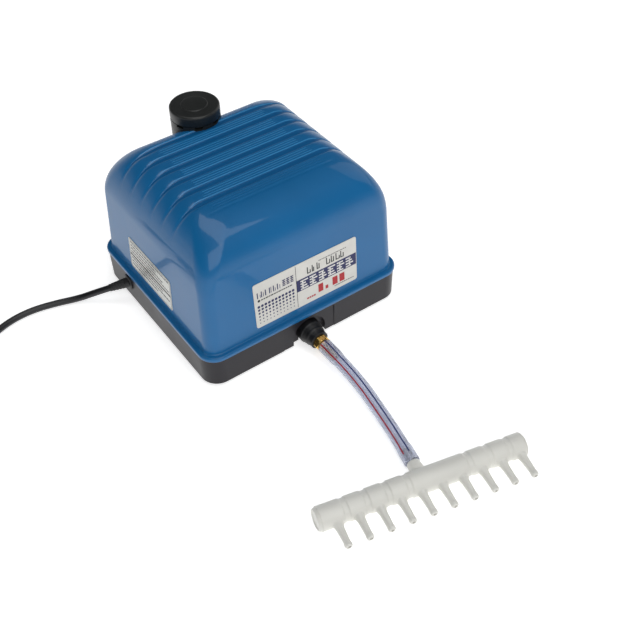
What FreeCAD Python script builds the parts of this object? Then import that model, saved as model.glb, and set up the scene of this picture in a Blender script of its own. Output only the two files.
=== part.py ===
"""Electromagnetic linear air pump for ponds and aquariums, with its hose and ten-way air manifold.

Frame: millimetres, +Z up, origin on the standing surface under the centre of the pump's base.
The front, with the air outlet, faces -Y; the mains lead leaves the left side, -X.
"""
import FreeCAD, Part
import math
import os
from FreeCAD import Vector

os.makedirs("parts", exist_ok=True)

X, Y, Z = Vector(1, 0, 0), Vector(0, 1, 0), Vector(0, 0, 1)

# ---------------------------------------------------------------- driving dimensions
FLANGE_HALF_X = 117.5
FLANGE_HALF_Y = 111.0
FLANGE_R = 18.8
FLANGE_BOTTOM = 35.0
FLANGE_TOP = 40.0
COVER_TOP = 165.8
COVER_WALL = 3.0
SCREW_R, SCREW_REACH = 2.0, 12.0   # cover screws, and how deep their holes go into the cover's posts
WALL_INSET = 5.6               # cover wall inside the flange's rim
WALL_R = 13.2                  # plan radius of the cover's upright corners
CROWN_R = 24.0                 # plan radius of the same corners at the crown
SIDE_DRAFT, FRONT_DRAFT, BACK_DRAFT = 0.045, 0.055, 0.040
SIDE_SHOULDER_Z, FRONT_SHOULDER_Z, BACK_SHOULDER_Z = 113.0, 124.0, 112.0
SIDE_SHOULDER, FRONT_SHOULDER, BACK_SHOULDER = 42.0, 52.0, 44.0

GROOVE_COUNT = 6
GROOVE_PITCH = 20.0
GROOVE_FRONT_Y = -39.0
GROOVE_WIDTH = 7.0
GROOVE_DEPTH = 1.6
GROOVE_HALF_LENGTH = 80.0

BASE_BOTTOM = 3.0
BASE_TOP = 34.2
BASE_FLOOR = 6.0
BASE_WALL = 3.0
BASE_R = 18.0
SCREW_SPOTS = [(x, y) for x in (-101.0, 101.0) for y in (-95.0, 95.0)]

OUTLET_Z = 14.5
OUTLET_BACK_Y = -66.0          # upright leg of the rubber elbow
ELBOW_R, ELBOW_BORE_R, ELBOW_BEND_R = 10.5, 6.5, 12.5
HEX_FRONT_Y, HEX_BACK_Y = -135.0, -128.0
TAIL_END_Y = -156.0
HOSE_R, HOSE_BORE_R = 7.0, 4.9
HOSE_START_Y = -136.0

TOWER_X, TOWER_Y, TOWER_R = 0.0, 86.0, 25.7
TOWER_BORE_R = 22.7
TOWER_BOTTOM, TOWER_TOP = 118.0, 168.0
CAP_GAP = 0.3
CAP_TOP = 179.7

GLAND_Y, GLAND_Z = 54.0, 23.0
CLAMP_X0, CLAMP_X1, CLAMP_Y0, CLAMP_Y1, CLAMP_BOTTOM = -108.0, -101.0, 47.0, 61.0, 15.0
TERMINAL_X0, TERMINAL_X1, TERMINAL_Y0, TERMINAL_Y1 = -98.0, -84.0, 46.0, 70.0
TERMINAL_BOTTOM, TERMINAL_TOP = 12.0, 28.0
CORD_R = 3.5

AXIS_Y, AXIS_Z = -14.0, 98.0   # the shuttle's line of travel, along X
CHAMBER_R = 34.0
TANK_HALF_X, TANK_Y0, TANK_Y1 = 100.0, -78.0, 44.0
TANK_BOTTOM, TANK_TOP, LID_BOTTOM, LID_TOP = 30.0, 54.0, 55.0, 58.0
SPIGOT_X = 92.5                # delivery spigots under the two chamber heads

MANIFOLD_R, MANIFOLD_BORE_R = 11.7, 8.7
MANIFOLD_LENGTH = 206.0
MANIFOLD_LEFT = Vector(-124.6, -294.4, MANIFOLD_R)
MANIFOLD_YAW = -12.83          # degrees about Z
BARB_COUNT, BARB_PITCH, BARB_FIRST = 10, 20.1, 16.5
BARB_TIP = 35.5                # from the manifold's axis
BARB_R, BARB_BORE_R = 2.7, 1.5


# ---------------------------------------------------------------- shape helpers
def box(x0, x1, y0, y1, z0, z1):
    return Part.makeBox(x1 - x0, y1 - y0, z1 - z0, Vector(x0, y0, z0))


def rod(radius, start, end):
    return Part.makeCylinder(radius, (end - start).Length, start, end - start)


def cone(r_start, r_end, start, end):
    return Part.makeCone(r_start, r_end, (end - start).Length, start, end - start)


def tube(outer, inner, start, end):
    return rod(outer, start, end).cut(rod(inner, start, end))


def union(shapes):
    shapes = list(shapes)
    if len(shapes) == 1:
        return shapes[0]
    return shapes[0].multiFuse(shapes[1:]).removeSplitter()


def group(shapes):
    return Part.makeCompound(list(shapes))


def mirrored(shape):
    """The same piece on the other side of the pump, across the plane X = 0."""
    return shape.mirror(Vector(0, 0, 0), X)


def rounded_rectangle(x0, x1, y0, y1, r, z):
    """Closed wire: four straight sides joined by four quarter circles."""
    h = r * math.sqrt(0.5)
    corners = (((x1 - r, y0 + r), (0, -r), (h, -h), (r, 0)), ((x1 - r, y1 - r), (r, 0), (h, h), (0, r)),
               ((x0 + r, y1 - r), (0, r), (-h, h), (-r, 0)), ((x0 + r, y0 + r), (-r, 0), (-h, -h), (0, -r)))
    arcs = [[Vector(cx + dx, cy + dy, z) for dx, dy in offsets] for (cx, cy), *offsets in corners]
    edges = []
    for arc, following in zip(arcs, arcs[1:] + arcs[:1]):
        edges.append(Part.Arc(*arc).toShape())
        edges.append(Part.LineSegment(arc[2], following[0]).toShape())
    return Part.Wire(edges)


def slab(half_x, half_y, r, z0, z1):
    wire = rounded_rectangle(-half_x, half_x, -half_y, half_y, r, z0)
    return Part.Face(wire).extrude(Z * (z1 - z0))


def hexagon(across_flats, start, end):
    """Hexagonal bar from start to end, with two flats facing sideways."""
    along = end - start
    side = along.cross(Z).normalize() if abs(along.getAngle(Z) % math.pi) > 0.01 else Vector(X)
    up = side.cross(along).normalize()
    reach = across_flats / math.sqrt(3)
    points = [start + side * (reach * math.cos(math.radians(60 * i + 30)))
              + up * (reach * math.sin(math.radians(60 * i + 30))) for i in range(6)]
    return Part.Face(Part.makePolygon(points + points[:1])).extrude(along)


def rounded_path(points):
    """Straight runs joined by tangent arcs; each arc's radius is 0.45 of its shorter run over tan(turn / 2)."""
    edges, radii, here = [], [], points[0]
    for before, corner, after in zip(points, points[1:], points[2:]):
        back, ahead = before - corner, after - corner
        reach = 0.45 * min(back.Length, ahead.Length)
        turn = math.pi - back.getAngle(ahead)
        start = corner + back.normalize() * reach
        end = corner + ahead.normalize() * reach
        radius = reach / math.tan(turn / 2)
        middle_way = (back + ahead).normalize()
        middle = corner + middle_way * (radius * (1 / math.cos(turn / 2) - 1))
        edges.append(Part.LineSegment(here, start).toShape())
        edges.append(Part.Arc(start, middle, end).toShape())
        radii.append(radius)
        here = end
    edges.append(Part.LineSegment(here, points[-1]).toShape())
    return Part.Wire(edges), radii


def swept(radius, points):
    wire, radii = rounded_path(points)
    start = points[0]
    circle = Part.Wire(Part.Circle(start, points[1] - start, radius).toShape())
    return wire.makePipeShell([circle], True, False), wire.Length, radii


def save(name, shape):
    if shape.isNull() or not shape.isValid():
        print("NOT VALID", name)
    shape.exportStep(f"parts/{name}.step")


# ---------------------------------------------------------------- casing
def shoulder(wall, z, shoulder_z, extent, inset):
    """Distance of the cover's surface from the centre: drafted wall, then an elliptical shoulder."""
    if z <= shoulder_z:
        return wall(z) - inset
    rise = min((z - shoulder_z) / (COVER_TOP - inset - shoulder_z), 1.0)
    return wall(shoulder_z) - inset - (extent - inset) * (1 - math.sqrt(1 - rise * rise))


def cover_section(z, inset):
    side = shoulder(lambda h: FLANGE_HALF_X - WALL_INSET - SIDE_DRAFT * (h - FLANGE_TOP),
                    z, SIDE_SHOULDER_Z, SIDE_SHOULDER, inset)
    front = shoulder(lambda h: FLANGE_HALF_Y - WALL_INSET - FRONT_DRAFT * (h - FLANGE_TOP),
                     z, FRONT_SHOULDER_Z, FRONT_SHOULDER, inset)
    back = shoulder(lambda h: FLANGE_HALF_Y - WALL_INSET - BACK_DRAFT * (h - FLANGE_TOP),
                    z, BACK_SHOULDER_Z, BACK_SHOULDER, inset)
    rise = max(0.0, (z - SIDE_SHOULDER_Z) / (COVER_TOP - SIDE_SHOULDER_Z))
    radius = WALL_R + (CROWN_R - WALL_R) * min(rise, 1.0) - inset
    return rounded_rectangle(-side, side, -front, back, radius, z)


def cover_form(inset, bottom):
    """The cover's outer form, moved inwards by inset and closed at bottom."""
    top = COVER_TOP - inset
    levels = [bottom, BACK_SHOULDER_Z, 118.0, FRONT_SHOULDER_Z]
    steps = 8
    levels += [FRONT_SHOULDER_Z + (top - FRONT_SHOULDER_Z) * math.sin(math.pi / 2 * i / steps)
               for i in range(1, steps + 1)]
    return Part.makeLoft([cover_section(z, inset) for z in levels], True, True)


def groove_y(index):
    return GROOVE_FRONT_Y + GROOVE_PITCH * index


def top_cover():
    outer = cover_form(0.0, FLANGE_BOTTOM)
    flange = slab(FLANGE_HALF_X, FLANGE_HALF_Y, FLANGE_R, FLANGE_BOTTOM, FLANGE_TOP)
    rim = [e for e in flange.Edges if all(abs(v.Z - FLANGE_TOP) < 1e-6 for v in e.Vertexes)]
    flange = flange.makeFillet(2.0, rim)
    skin = outer.cut(cover_form(GROOVE_DEPTH, FLANGE_BOTTOM))
    grooves = [box(-GROOVE_HALF_LENGTH, GROOVE_HALF_LENGTH, groove_y(i) - GROOVE_WIDTH / 2,
                   groove_y(i) + GROOVE_WIDTH / 2, 140, COVER_TOP + 1) for i in range(GROOVE_COUNT)]
    body = union([outer, flange]).cut(skin.common(group(grooves)))
    body = body.cut(cover_form(COVER_WALL, FLANGE_BOTTOM - 1))
    feet = [Vector(x, y, FLANGE_BOTTOM) for x, y in SCREW_SPOTS]
    body = union([body] + [rod(7.5, foot, foot + Z * 25).common(outer) for foot in feet])
    body = body.cut(group(rod(SCREW_R, foot, foot + Z * SCREW_REACH) for foot in feet))
    opening = Vector(TOWER_X, TOWER_Y, TOWER_BOTTOM)
    return body.cut(rod(TOWER_R, opening, opening + Z * 60))


def cover_gasket():
    outer = slab(FLANGE_HALF_X - 1.3, FLANGE_HALF_Y - 1.3, BASE_R - 0.5, BASE_TOP, FLANGE_BOTTOM)
    return outer.cut(slab(FLANGE_HALF_X - 5.0, FLANGE_HALF_Y - 5.0, BASE_R - 4, BASE_TOP, FLANGE_BOTTOM))


ARCH_X, ARCH_Z, ARCH_R, ARCH_DEPTH = 0.5, 11.0, 19.5, 5.0
PANEL_HALF_WIDTH, PANEL_DEPTH = 31.0, 0.8
BASE_HALF_X, BASE_HALF_Y = 116.4, 109.9


def base_tray():
    lower = rounded_rectangle(-BASE_HALF_X + 0.4, BASE_HALF_X - 0.4, -BASE_HALF_Y + 0.4, BASE_HALF_Y - 0.4,
                              BASE_R, BASE_BOTTOM)
    upper = rounded_rectangle(-BASE_HALF_X, BASE_HALF_X, -BASE_HALF_Y, BASE_HALF_Y, BASE_R, BASE_TOP)
    tray = Part.makeLoft([lower, upper], True, True)
    tray = tray.cut(slab(BASE_HALF_X - BASE_WALL, BASE_HALF_Y - BASE_WALL, BASE_R - BASE_WALL,
                         BASE_FLOOR, BASE_TOP + 1))
    # Backing for the outlet recess, which is deeper than the wall.
    backing_y = -BASE_HALF_Y + ARCH_DEPTH + BASE_WALL
    tray = union([tray, box(ARCH_X - 24, ARCH_X + 24, -BASE_HALF_Y + 1.5, backing_y, BASE_BOTTOM, BASE_TOP)]
                 + base_posts())
    tray = tray.cut(box(-PANEL_HALF_WIDTH, PANEL_HALF_WIDTH, -BASE_HALF_Y - 1, -BASE_HALF_Y + PANEL_DEPTH,
                        BASE_BOTTOM - 1, BASE_TOP - 1.5))
    recess_back = -BASE_HALF_Y + ARCH_DEPTH
    arch = rod(ARCH_R, Vector(ARCH_X, -BASE_HALF_Y - 1, ARCH_Z), Vector(ARCH_X, recess_back, ARCH_Z))
    legs = box(ARCH_X - ARCH_R, ARCH_X + ARCH_R, -BASE_HALF_Y - 1, recess_back, BASE_BOTTOM - 1, ARCH_Z)
    slot = union([rod(ELBOW_R, Vector(0, recess_back - 1, OUTLET_Z), Vector(0, backing_y + 1, OUTLET_Z)),
                  box(-ELBOW_R, ELBOW_R, recess_back - 1, OUTLET_BACK_Y + 12, BASE_BOTTOM - 1, OUTLET_Z)])
    tray = tray.cut(union([arch, legs])).cut(slot)
    for x, y in SCREW_SPOTS:
        tray = tray.cut(rod(SCREW_R + 0.25, Vector(x, y, BASE_BOTTOM - 1), Vector(x, y, BASE_TOP + 1)))
    gland = Vector(-BASE_HALF_X - 2, GLAND_Y, GLAND_Z)
    return tray.cut(rod(7.0, gland, gland + X * 8))


MOUNT_SPOTS = [(sx * 82.0, y) for sx in (-1, 1) for y in (-62.0, 28.0)]
POST_TOP = 16.0


def base_posts():
    low = BASE_FLOOR - 1
    posts = [rod(6.0, Vector(x, y, low), Vector(x, y, BASE_TOP)) for x, y in SCREW_SPOTS]
    posts += [rod(10.0, Vector(x, y, low), Vector(x, y, POST_TOP)) for x, y in MOUNT_SPOTS]
    posts.append(box(TERMINAL_X0, TERMINAL_X1, TERMINAL_Y0, TERMINAL_Y1, low, TERMINAL_BOTTOM))
    posts.append(box(CLAMP_X0, CLAMP_X1, CLAMP_Y0, CLAMP_Y1, low, CLAMP_BOTTOM))
    return posts


def rubber_feet():
    def foot(x, y):
        low, high = Vector(x, y, 0), Vector(x, y, BASE_BOTTOM)
        return cone(9.2, 10.0, low, high).cut(rod(4.5, low, high))
    return group(foot(x, y) for x, y in SCREW_SPOTS)


def cover_screws():
    def screw(x, y):
        spot = Vector(x, y, 0)
        head = rod(4.0, spot + Z * 0.6, spot + Z * BASE_BOTTOM).cut(box(x - 3, x + 3, y - 0.5, y + 0.5, 0, 1.5))
        return union([head, rod(SCREW_R, spot + Z * BASE_BOTTOM, spot + Z * (FLANGE_BOTTOM + SCREW_REACH - 1))])
    return group(screw(x, y) for x, y in SCREW_SPOTS)


# ---------------------------------------------------------------- labels
LABEL_THICKNESS = 0.5
LABEL_R = 2.5


def label(width, height, centre, level, top_z, draft, yaw):
    """Thin plate on a drafted wall: centre is along the wall, level is the wall's distance at the flange."""
    plate = Part.Face(rounded_rectangle(-width / 2, width / 2, -height / 2, height / 2, LABEL_R, 0))
    plate = plate.extrude(Z * LABEL_THICKNESS)
    tilt = math.degrees(math.atan(draft))
    plate.rotate(Vector(0, 0, 0), X, 90 - tilt)                     # stands up, facing -Y
    middle_z = top_z - height / 2 * math.cos(math.radians(tilt))
    plate.translate(Vector(centre, -(level - draft * (middle_z - FLANGE_TOP)), middle_z))
    plate.rotate(Vector(0, 0, 0), Z, yaw)
    return plate


def front_label():
    return label(120.6, 54.3, 2.6, FLANGE_HALF_Y - WALL_INSET, 102.4, FRONT_DRAFT, 0)


def side_label():
    return label(84.1, 38.1, -5.5, FLANGE_HALF_X - WALL_INSET, 87.0, SIDE_DRAFT, -90)


# ---------------------------------------------------------------- air intake
NOTCH_COUNT = 8


def intake_point(z):
    return Vector(TOWER_X, TOWER_Y, z)


def radial_notches(r0, r1, width, z0, z1):
    notches = []
    for i in range(NOTCH_COUNT):
        notch = box(r0, r1, -width / 2, width / 2, z0, z1)
        notch.rotate(Vector(0, 0, 0), Z, 360.0 / NOTCH_COUNT * (i + 0.5))
        notch.translate(Vector(TOWER_X, TOWER_Y, 0))
        notches.append(notch)
    return notches


def intake_tower():
    tower = tube(TOWER_R, TOWER_BORE_R, intake_point(TOWER_BOTTOM + 3), intake_point(TOWER_TOP))
    floor = tube(TOWER_R, 8.0, intake_point(TOWER_BOTTOM), intake_point(TOWER_BOTTOM + 3))
    ledge = tube(TOWER_R, 21.0, intake_point(158.0), intake_point(159.5))
    tower = union([tower, floor, ledge])
    return tower.cut(group(radial_notches(20.0, 30.0, 8.0, TOWER_TOP - 2.5, TOWER_TOP + 1)))


def filter_foam():
    return tube(20.5, 4.0, intake_point(TOWER_BOTTOM + 3), intake_point(157.5))


def filter_grid():
    grid = rod(22.5, intake_point(159.5), intake_point(161.0))
    holes = []
    for ring_r, count in ((7.0, 6), (14.0, 12)):
        for i in range(count):
            turn = 2 * math.pi * i / count
            spot = intake_point(159.0) + Vector(math.cos(turn), math.sin(turn), 0) * ring_r
            holes.append(rod(2.4, spot, spot + Z * 3))
    return grid.cut(group(holes))


def filter_cap():
    bottom = TOWER_TOP + CAP_GAP
    cap = rod(TOWER_R, intake_point(bottom), intake_point(CAP_TOP))
    rim = [e for e in cap.Edges if e.Closed and abs(e.BoundBox.ZMin - CAP_TOP) < 1e-3]
    cap = cap.makeFillet(1.6, rim)
    cap = cap.cut(rod(TOWER_R - 3, intake_point(bottom - 1), intake_point(CAP_TOP - 3)))
    skirt = tube(22.3, 20.3, intake_point(162.5), intake_point(CAP_TOP - 2))
    skirt = skirt.cut(group(radial_notches(18.0, 24.0, 9.0, 160.0, TOWER_TOP + 4)))
    disc = rod(13.7, intake_point(CAP_TOP - 1), intake_point(CAP_TOP + 0.7))
    return union([cap, skirt, disc])


# ---------------------------------------------------------------- air tank under the mechanism
SPIGOT_R, SPIGOT_BORE_R = 4.0, 2.8


def tank_slab(shrink, z0, z1):
    wire = rounded_rectangle(-TANK_HALF_X + shrink, TANK_HALF_X - shrink, TANK_Y0 + shrink, TANK_Y1 - shrink,
                             10.0 - shrink, z0)
    return Part.Face(wire).extrude(Z * (z1 - z0))


LID_SCREW_SPOTS = [(x, y) for x in (-96.0, 0.0, 96.0) for y in (TANK_Y0 + 4.0, TANK_Y1 - 4.0)]


def air_tank():
    tank = tank_slab(0, TANK_BOTTOM, TANK_TOP).cut(tank_slab(3, TANK_BOTTOM + 3, TANK_TOP + 1))
    posts = [rod(4.0, Vector(x, y, TANK_BOTTOM), Vector(x, y, TANK_TOP)) for x, y in LID_SCREW_SPOTS]
    spot = Vector(0, OUTLET_BACK_Y, 0)
    baffle = box(-60, 60, -20, -17, TANK_BOTTOM + 2, TANK_TOP)
    spigot = rod(ELBOW_BORE_R, spot + Z * (OUTLET_Z + ELBOW_BEND_R), spot + Z * (TANK_BOTTOM + 1))
    tank = union([tank, baffle, spigot] + posts)
    tank = tank.cut(rod(4.6, spot + Z * 24, spot + Z * (TANK_BOTTOM + 4)))
    for x, y in LID_SCREW_SPOTS:
        tank = tank.cut(rod(1.5, Vector(x, y, TANK_TOP - 9), Vector(x, y, TANK_TOP + 1)))
    return tank.cut(box(-60, -52, -21, -16, TANK_BOTTOM + 3, TANK_TOP - 4))


def tank_gasket():
    gasket = tank_slab(0, TANK_TOP, LID_BOTTOM).cut(tank_slab(3, TANK_TOP - 1, LID_BOTTOM + 1))
    lugs = [rod(4.0, Vector(x, y, TANK_TOP), Vector(x, y, LID_BOTTOM)) for x, y in LID_SCREW_SPOTS]
    gasket = union([gasket] + lugs)
    for x, y in LID_SCREW_SPOTS:
        gasket = gasket.cut(rod(1.5, Vector(x, y, TANK_TOP - 1), Vector(x, y, LID_BOTTOM + 1)))
    return gasket


def tank_lid():
    lid = tank_slab(0, LID_BOTTOM, LID_TOP)
    for x, y in LID_SCREW_SPOTS:
        lid = lid.cut(rod(1.5, Vector(x, y, LID_BOTTOM - 1), Vector(x, y, LID_TOP + 1)))
    for sx in (-1, 1):
        spot = Vector(sx * SPIGOT_X, AXIS_Y, 0)
        lid = lid.cut(rod(6.0, spot + Z * (LID_BOTTOM - 1), spot + Z * (LID_TOP + 1)))
    for x, y in FRAME_SCREW_SPOTS:
        lid = lid.cut(rod(1.5, Vector(x, y, LID_BOTTOM - 1), Vector(x, y, LID_TOP + 1)))
    return lid


def pan_screw(x, y, seat_z, length, radius=1.5):
    top = Vector(x, y, seat_z)
    head = cone(2 * radius, 1.5 * radius, top, top + Z * 1.4 * radius)
    cross = union([box(x - radius, x + radius, y - 0.3, y + 0.3, seat_z + radius, seat_z + 9),
                   box(x - 0.3, x + 0.3, y - radius, y + radius, seat_z + radius, seat_z + 9)])
    return union([head.cut(cross), rod(radius, top - Z * length, top)])


def tank_lid_screws():
    return group(pan_screw(x, y, LID_TOP, 12.0) for x, y in LID_SCREW_SPOTS)


def tank_grommets():
    def grommet(x):
        low, seat = Vector(x, AXIS_Y, LID_BOTTOM), Vector(x, AXIS_Y, LID_TOP)
        rubber = union([rod(6.0, low, seat), rod(8.0, seat, seat + Z * 2)])
        return rubber.cut(rod(SPIGOT_R, low - Z, seat + Z * 3))
    return group([grommet(-SPIGOT_X), grommet(SPIGOT_X)])


def rubber_mounts():
    def mount(x, y):
        low, high = Vector(x, y, POST_TOP), Vector(x, y, TANK_BOTTOM)
        waist = (low + high) * 0.5
        return union([cone(9.0, 6.5, low, waist), cone(6.5, 9.0, waist, high)])
    return group(mount(x, y) for x, y in MOUNT_SPOTS)


# ---------------------------------------------------------------- outlet
def outlet_elbow():
    top = Vector(0, OUTLET_BACK_Y, TANK_BOTTOM)
    bend_top = Vector(0, OUTLET_BACK_Y, OUTLET_Z + ELBOW_BEND_R)
    bend_front = Vector(0, OUTLET_BACK_Y - ELBOW_BEND_R, OUTLET_Z)
    front = Vector(0, HEX_BACK_Y, OUTLET_Z)
    centre = Vector(0, OUTLET_BACK_Y - ELBOW_BEND_R, OUTLET_Z + ELBOW_BEND_R)

    def solid(radius):
        disc = Part.Face(Part.Wire(Part.Circle(bend_top, Z, radius).toShape()))
        bend = disc.revolve(centre, X * -1, 90)
        if bend.BoundBox.ZMin > OUTLET_Z:
            bend = disc.revolve(centre, X, 90)
        return union([rod(radius, bend_top, top), bend, rod(radius, bend_front, front)])

    rings = [rod(r, Vector(0, y0, OUTLET_Z), Vector(0, y1, OUTLET_Z))
             for r, y0, y1 in ((11.3, -114.0, -111.0), (11.3, -121.5, -118.5))]
    elbow = union([solid(ELBOW_R)] + rings)
    return elbow.cut(solid(ELBOW_BORE_R))


def brass_hose_tail():
    def at(y):
        return Vector(0, y, OUTLET_Z)
    pieces = [rod(ELBOW_BORE_R, at(-112.0), at(HEX_BACK_Y)),
              hexagon(15.0, at(HEX_BACK_Y), at(HEX_FRONT_Y)),
              rod(4.3, at(HEX_FRONT_Y), at(TAIL_END_Y))]
    for i in range(4):
        y = HEX_FRONT_Y - 4.0 - 4.2 * i
        pieces.append(cone(4.8, 4.2, at(y), at(y - 3.0)))
    return union(pieces).cut(rod(3.1, at(-110.0), at(TAIL_END_Y - 1)))


def manifold_point(along, across=0.0, up=0.0):
    """A point in the manifold's own directions: along its axis, across towards the pump, and up."""
    yaw = math.radians(MANIFOLD_YAW)
    axis = Vector(math.cos(yaw), math.sin(yaw), 0)
    side = Vector(-math.sin(yaw), math.cos(yaw), 0)
    return MANIFOLD_LEFT + axis * along + side * across + Z * up


HOSE_END = manifold_point(103.5, 21.0)
HOSE_ROUTE = [Vector(0, HOSE_START_Y, OUTLET_Z), Vector(0, -168, OUTLET_Z), Vector(-1.2, -200, 12.6),
              Vector(-5.8, -232, 11.2), manifold_point(103.5, 54.0), HOSE_END]


def air_hose():
    outer, length, radii = swept(HOSE_R, HOSE_ROUTE)
    inner, _, _ = swept(HOSE_BORE_R, HOSE_ROUTE)
    hose = outer.cut(inner)
    section = math.pi * (HOSE_R ** 2 - HOSE_BORE_R ** 2)
    print(f"air hose: length {length:.1f}, radii {[round(r) for r in radii]}, "
          f"volume ratio {hose.Volume / (section * length):.4f}")
    return hose


def manifold_body():
    pieces = [rod(MANIFOLD_R, manifold_point(3), manifold_point(MANIFOLD_LENGTH - 3))]
    pieces.append(cone(7.5, 6.3, manifold_point(103.5, MANIFOLD_R - 3), manifold_point(103.5, 20.5)))
    pieces.append(rod(4.8, manifold_point(103.5, 20.0), manifold_point(103.5, 36.0)))
    for i in range(BARB_COUNT):
        along = BARB_FIRST + BARB_PITCH * i
        root = manifold_point(along, -(MANIFOLD_R - 2))
        shank = manifold_point(along, -(MANIFOLD_R + 5))
        pieces.append(cone(4.4, BARB_R, root, shank))
        pieces.append(rod(BARB_R, manifold_point(along, -(MANIFOLD_R + 4)), manifold_point(along, -BARB_TIP)))
    body = union(pieces)
    waists = []
    for gap in (0, 1, 2, 3, 6, 7, 8):
        along = BARB_FIRST + BARB_PITCH * (gap + 0.5)
        start, end = manifold_point(along - 2.6), manifold_point(along + 2.6)
        waists.append(rod(MANIFOLD_R + 1, start, end).cut(rod(MANIFOLD_R - 0.7, start, end)))
    body = body.cut(group(waists))
    body = body.cut(rod(MANIFOLD_BORE_R, manifold_point(2), manifold_point(MANIFOLD_LENGTH - 2)))
    body = body.cut(rod(3.4, manifold_point(103.5, 5), manifold_point(103.5, 37)))
    for i in range(BARB_COUNT):
        along = BARB_FIRST + BARB_PITCH * i
        body = body.cut(rod(BARB_BORE_R, manifold_point(along, -5), manifold_point(along, -BARB_TIP - 1)))
    return body


def manifold_end_caps():
    caps = []
    for face, inward in ((0.0, 1), (MANIFOLD_LENGTH, -1)):
        plug = rod(MANIFOLD_BORE_R, manifold_point(face + 2.9 * inward), manifold_point(face + 9 * inward))
        rim = cone(10.3, MANIFOLD_R, manifold_point(face), manifold_point(face + 3 * inward))
        caps.append(union([rim, plug]))
    return group(caps)


# ---------------------------------------------------------------- mains lead
GLAND_WAY = Vector(-0.84, 0.46, -0.29).normalize()     # the way the rubber sleeve points
GLAND_OUT = Vector(-BASE_HALF_X - 1.0, GLAND_Y, GLAND_Z)
CORD_EXIT = GLAND_OUT + GLAND_WAY * 21.0

COIL_CENTRE = Vector(-314.0, 118.0, 0)
COIL_INNER_R, COIL_OUTER_R, COIL_HEIGHT = 27.0, 48.5, 21.6
CORD_ROUTE = [CORD_EXIT, CORD_EXIT + GLAND_WAY * 17.0, Vector(-164.0, 80.5, 5.4), Vector(-187.0, 90.0, 3.7),
              Vector(-212.0, 95.5, 3.6), Vector(-237.0, 94.0, 3.6), Vector(-259.0, 86.0, 3.6),
              Vector(-281.0, 76.5, 3.6), Vector(-303.0, 73.2, 3.6)]


def cord_gland():
    collar = rod(8.6, Vector(-BASE_HALF_X - 1.6, GLAND_Y, GLAND_Z), Vector(-BASE_HALF_X, GLAND_Y, GLAND_Z))
    barrel = rod(7.0, Vector(-BASE_HALF_X, GLAND_Y, GLAND_Z), Vector(-BASE_HALF_X + 5.5, GLAND_Y, GLAND_Z))
    sleeve = cone(6.0, 4.4, GLAND_OUT - GLAND_WAY * 2.0, CORD_EXIT)
    return union([collar, barrel, sleeve])


def mains_cord():
    cord, length, radii = swept(CORD_R, CORD_ROUTE)
    print(f"mains cord: length {length:.1f}, radii {[round(r) for r in radii]}, "
          f"volume ratio {cord.Volume / (math.pi * CORD_R ** 2 * length):.4f}")
    return cord


def cord_coil():
    top = COIL_CENTRE + Z * COIL_HEIGHT
    return tube(COIL_OUTER_R, COIL_INNER_R, COIL_CENTRE, top)


PLUG_YAW = 20.0                # the way the lead leaves the coil, and the plug's pins point
PLUG_RELIEF = 20.0             # strain relief behind the plug's body
PLUG_GAP = 28.0                # from the coil's tangent point to the strain relief
PLUG_Z = 14.0
LEAD_START_Z = 17.9            # the coil's top layer


def lead_way():
    yaw = math.radians(PLUG_YAW)
    return Vector(math.cos(yaw), math.sin(yaw), 0)


def plug_entry():
    outward = Z.cross(lead_way())
    return COIL_CENTRE + outward * (COIL_OUTER_R - CORD_R) + lead_way() * PLUG_GAP + Z * PLUG_Z


def plug_lead():
    """The lead's last stretch, sloping down from the coil's top layer to the plug."""
    slope = (LEAD_START_Z - PLUG_Z) / PLUG_GAP
    start = plug_entry() - (lead_way() - Z * slope) * 15.0
    return rod(CORD_R, start, plug_entry())


def plug_place(shape):
    """From the plug's own frame, with its pins along +X, to where it lies beside the coil."""
    shape.translate(X * PLUG_RELIEF)
    shape.rotate(Vector(0, 0, 0), Z, PLUG_YAW)
    shape.translate(plug_entry())
    return shape


def mains_plug():
    body = Part.makeLoft([
        Part.Wire(Part.Ellipse(Vector(0, 0, 0), 9.0, 7.0).toShape()),
        Part.Wire(Part.Ellipse(Vector(0, 0, 14), 13.0, 10.0).toShape()),
        Part.Wire(Part.Ellipse(Vector(0, 0, 28), 18.0, 13.6).toShape())], True, False)
    face = Part.makeCylinder(19.5, 7.0, Vector(0, 0, 28)).common(box(-20, 20, -14.0, 14.0, 27, 36))
    relief = cone(4.4, 6.6, Z * -PLUG_RELIEF, Z)
    plug = union([body, face, relief])
    plug.rotate(Vector(0, 0, 0), Y, 90)
    plug.rotate(Vector(0, 0, 0), X, 90)
    return plug_place(plug)


def plug_pins():
    pins = []
    for angle, offset, length in ((30, (-3.6, -7.6), 17.0), (-30, (-3.6, 7.6), 17.0), (90, (7.6, 0.0), 20.0)):
        blade = box(35.0, 35.0 + length, -3.1, 3.1, -0.8, 0.8)
        blade.rotate(Vector(0, 0, 0), X, angle)
        blade.translate(Vector(0, offset[1], offset[0]))
        pins.append(blade)
    return plug_place(group(pins))


def cord_clamp():
    clamp = box(CLAMP_X0, CLAMP_X1, CLAMP_Y0, CLAMP_Y1, CLAMP_BOTTOM, GLAND_Z + 7)
    lead = Vector(CLAMP_X0 - 2, GLAND_Y, GLAND_Z)
    return clamp.cut(rod(CORD_R, lead, lead + X * 11))


def inner_lead():
    return rod(CORD_R, Vector(-BASE_HALF_X + 5.5, GLAND_Y, GLAND_Z), Vector(TERMINAL_X0, GLAND_Y, GLAND_Z))


def terminal_block():
    block = box(TERMINAL_X0, TERMINAL_X1, TERMINAL_Y0, TERMINAL_Y1, TERMINAL_BOTTOM, TERMINAL_TOP)
    spots = [Vector(TERMINAL_X0 + 4, TERMINAL_Y0 + 4 + 8 * i, TERMINAL_TOP) for i in range(3)]
    return block.cut(group(rod(1.9, spot - Z * 6, spot + Z) for spot in spots))


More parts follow.
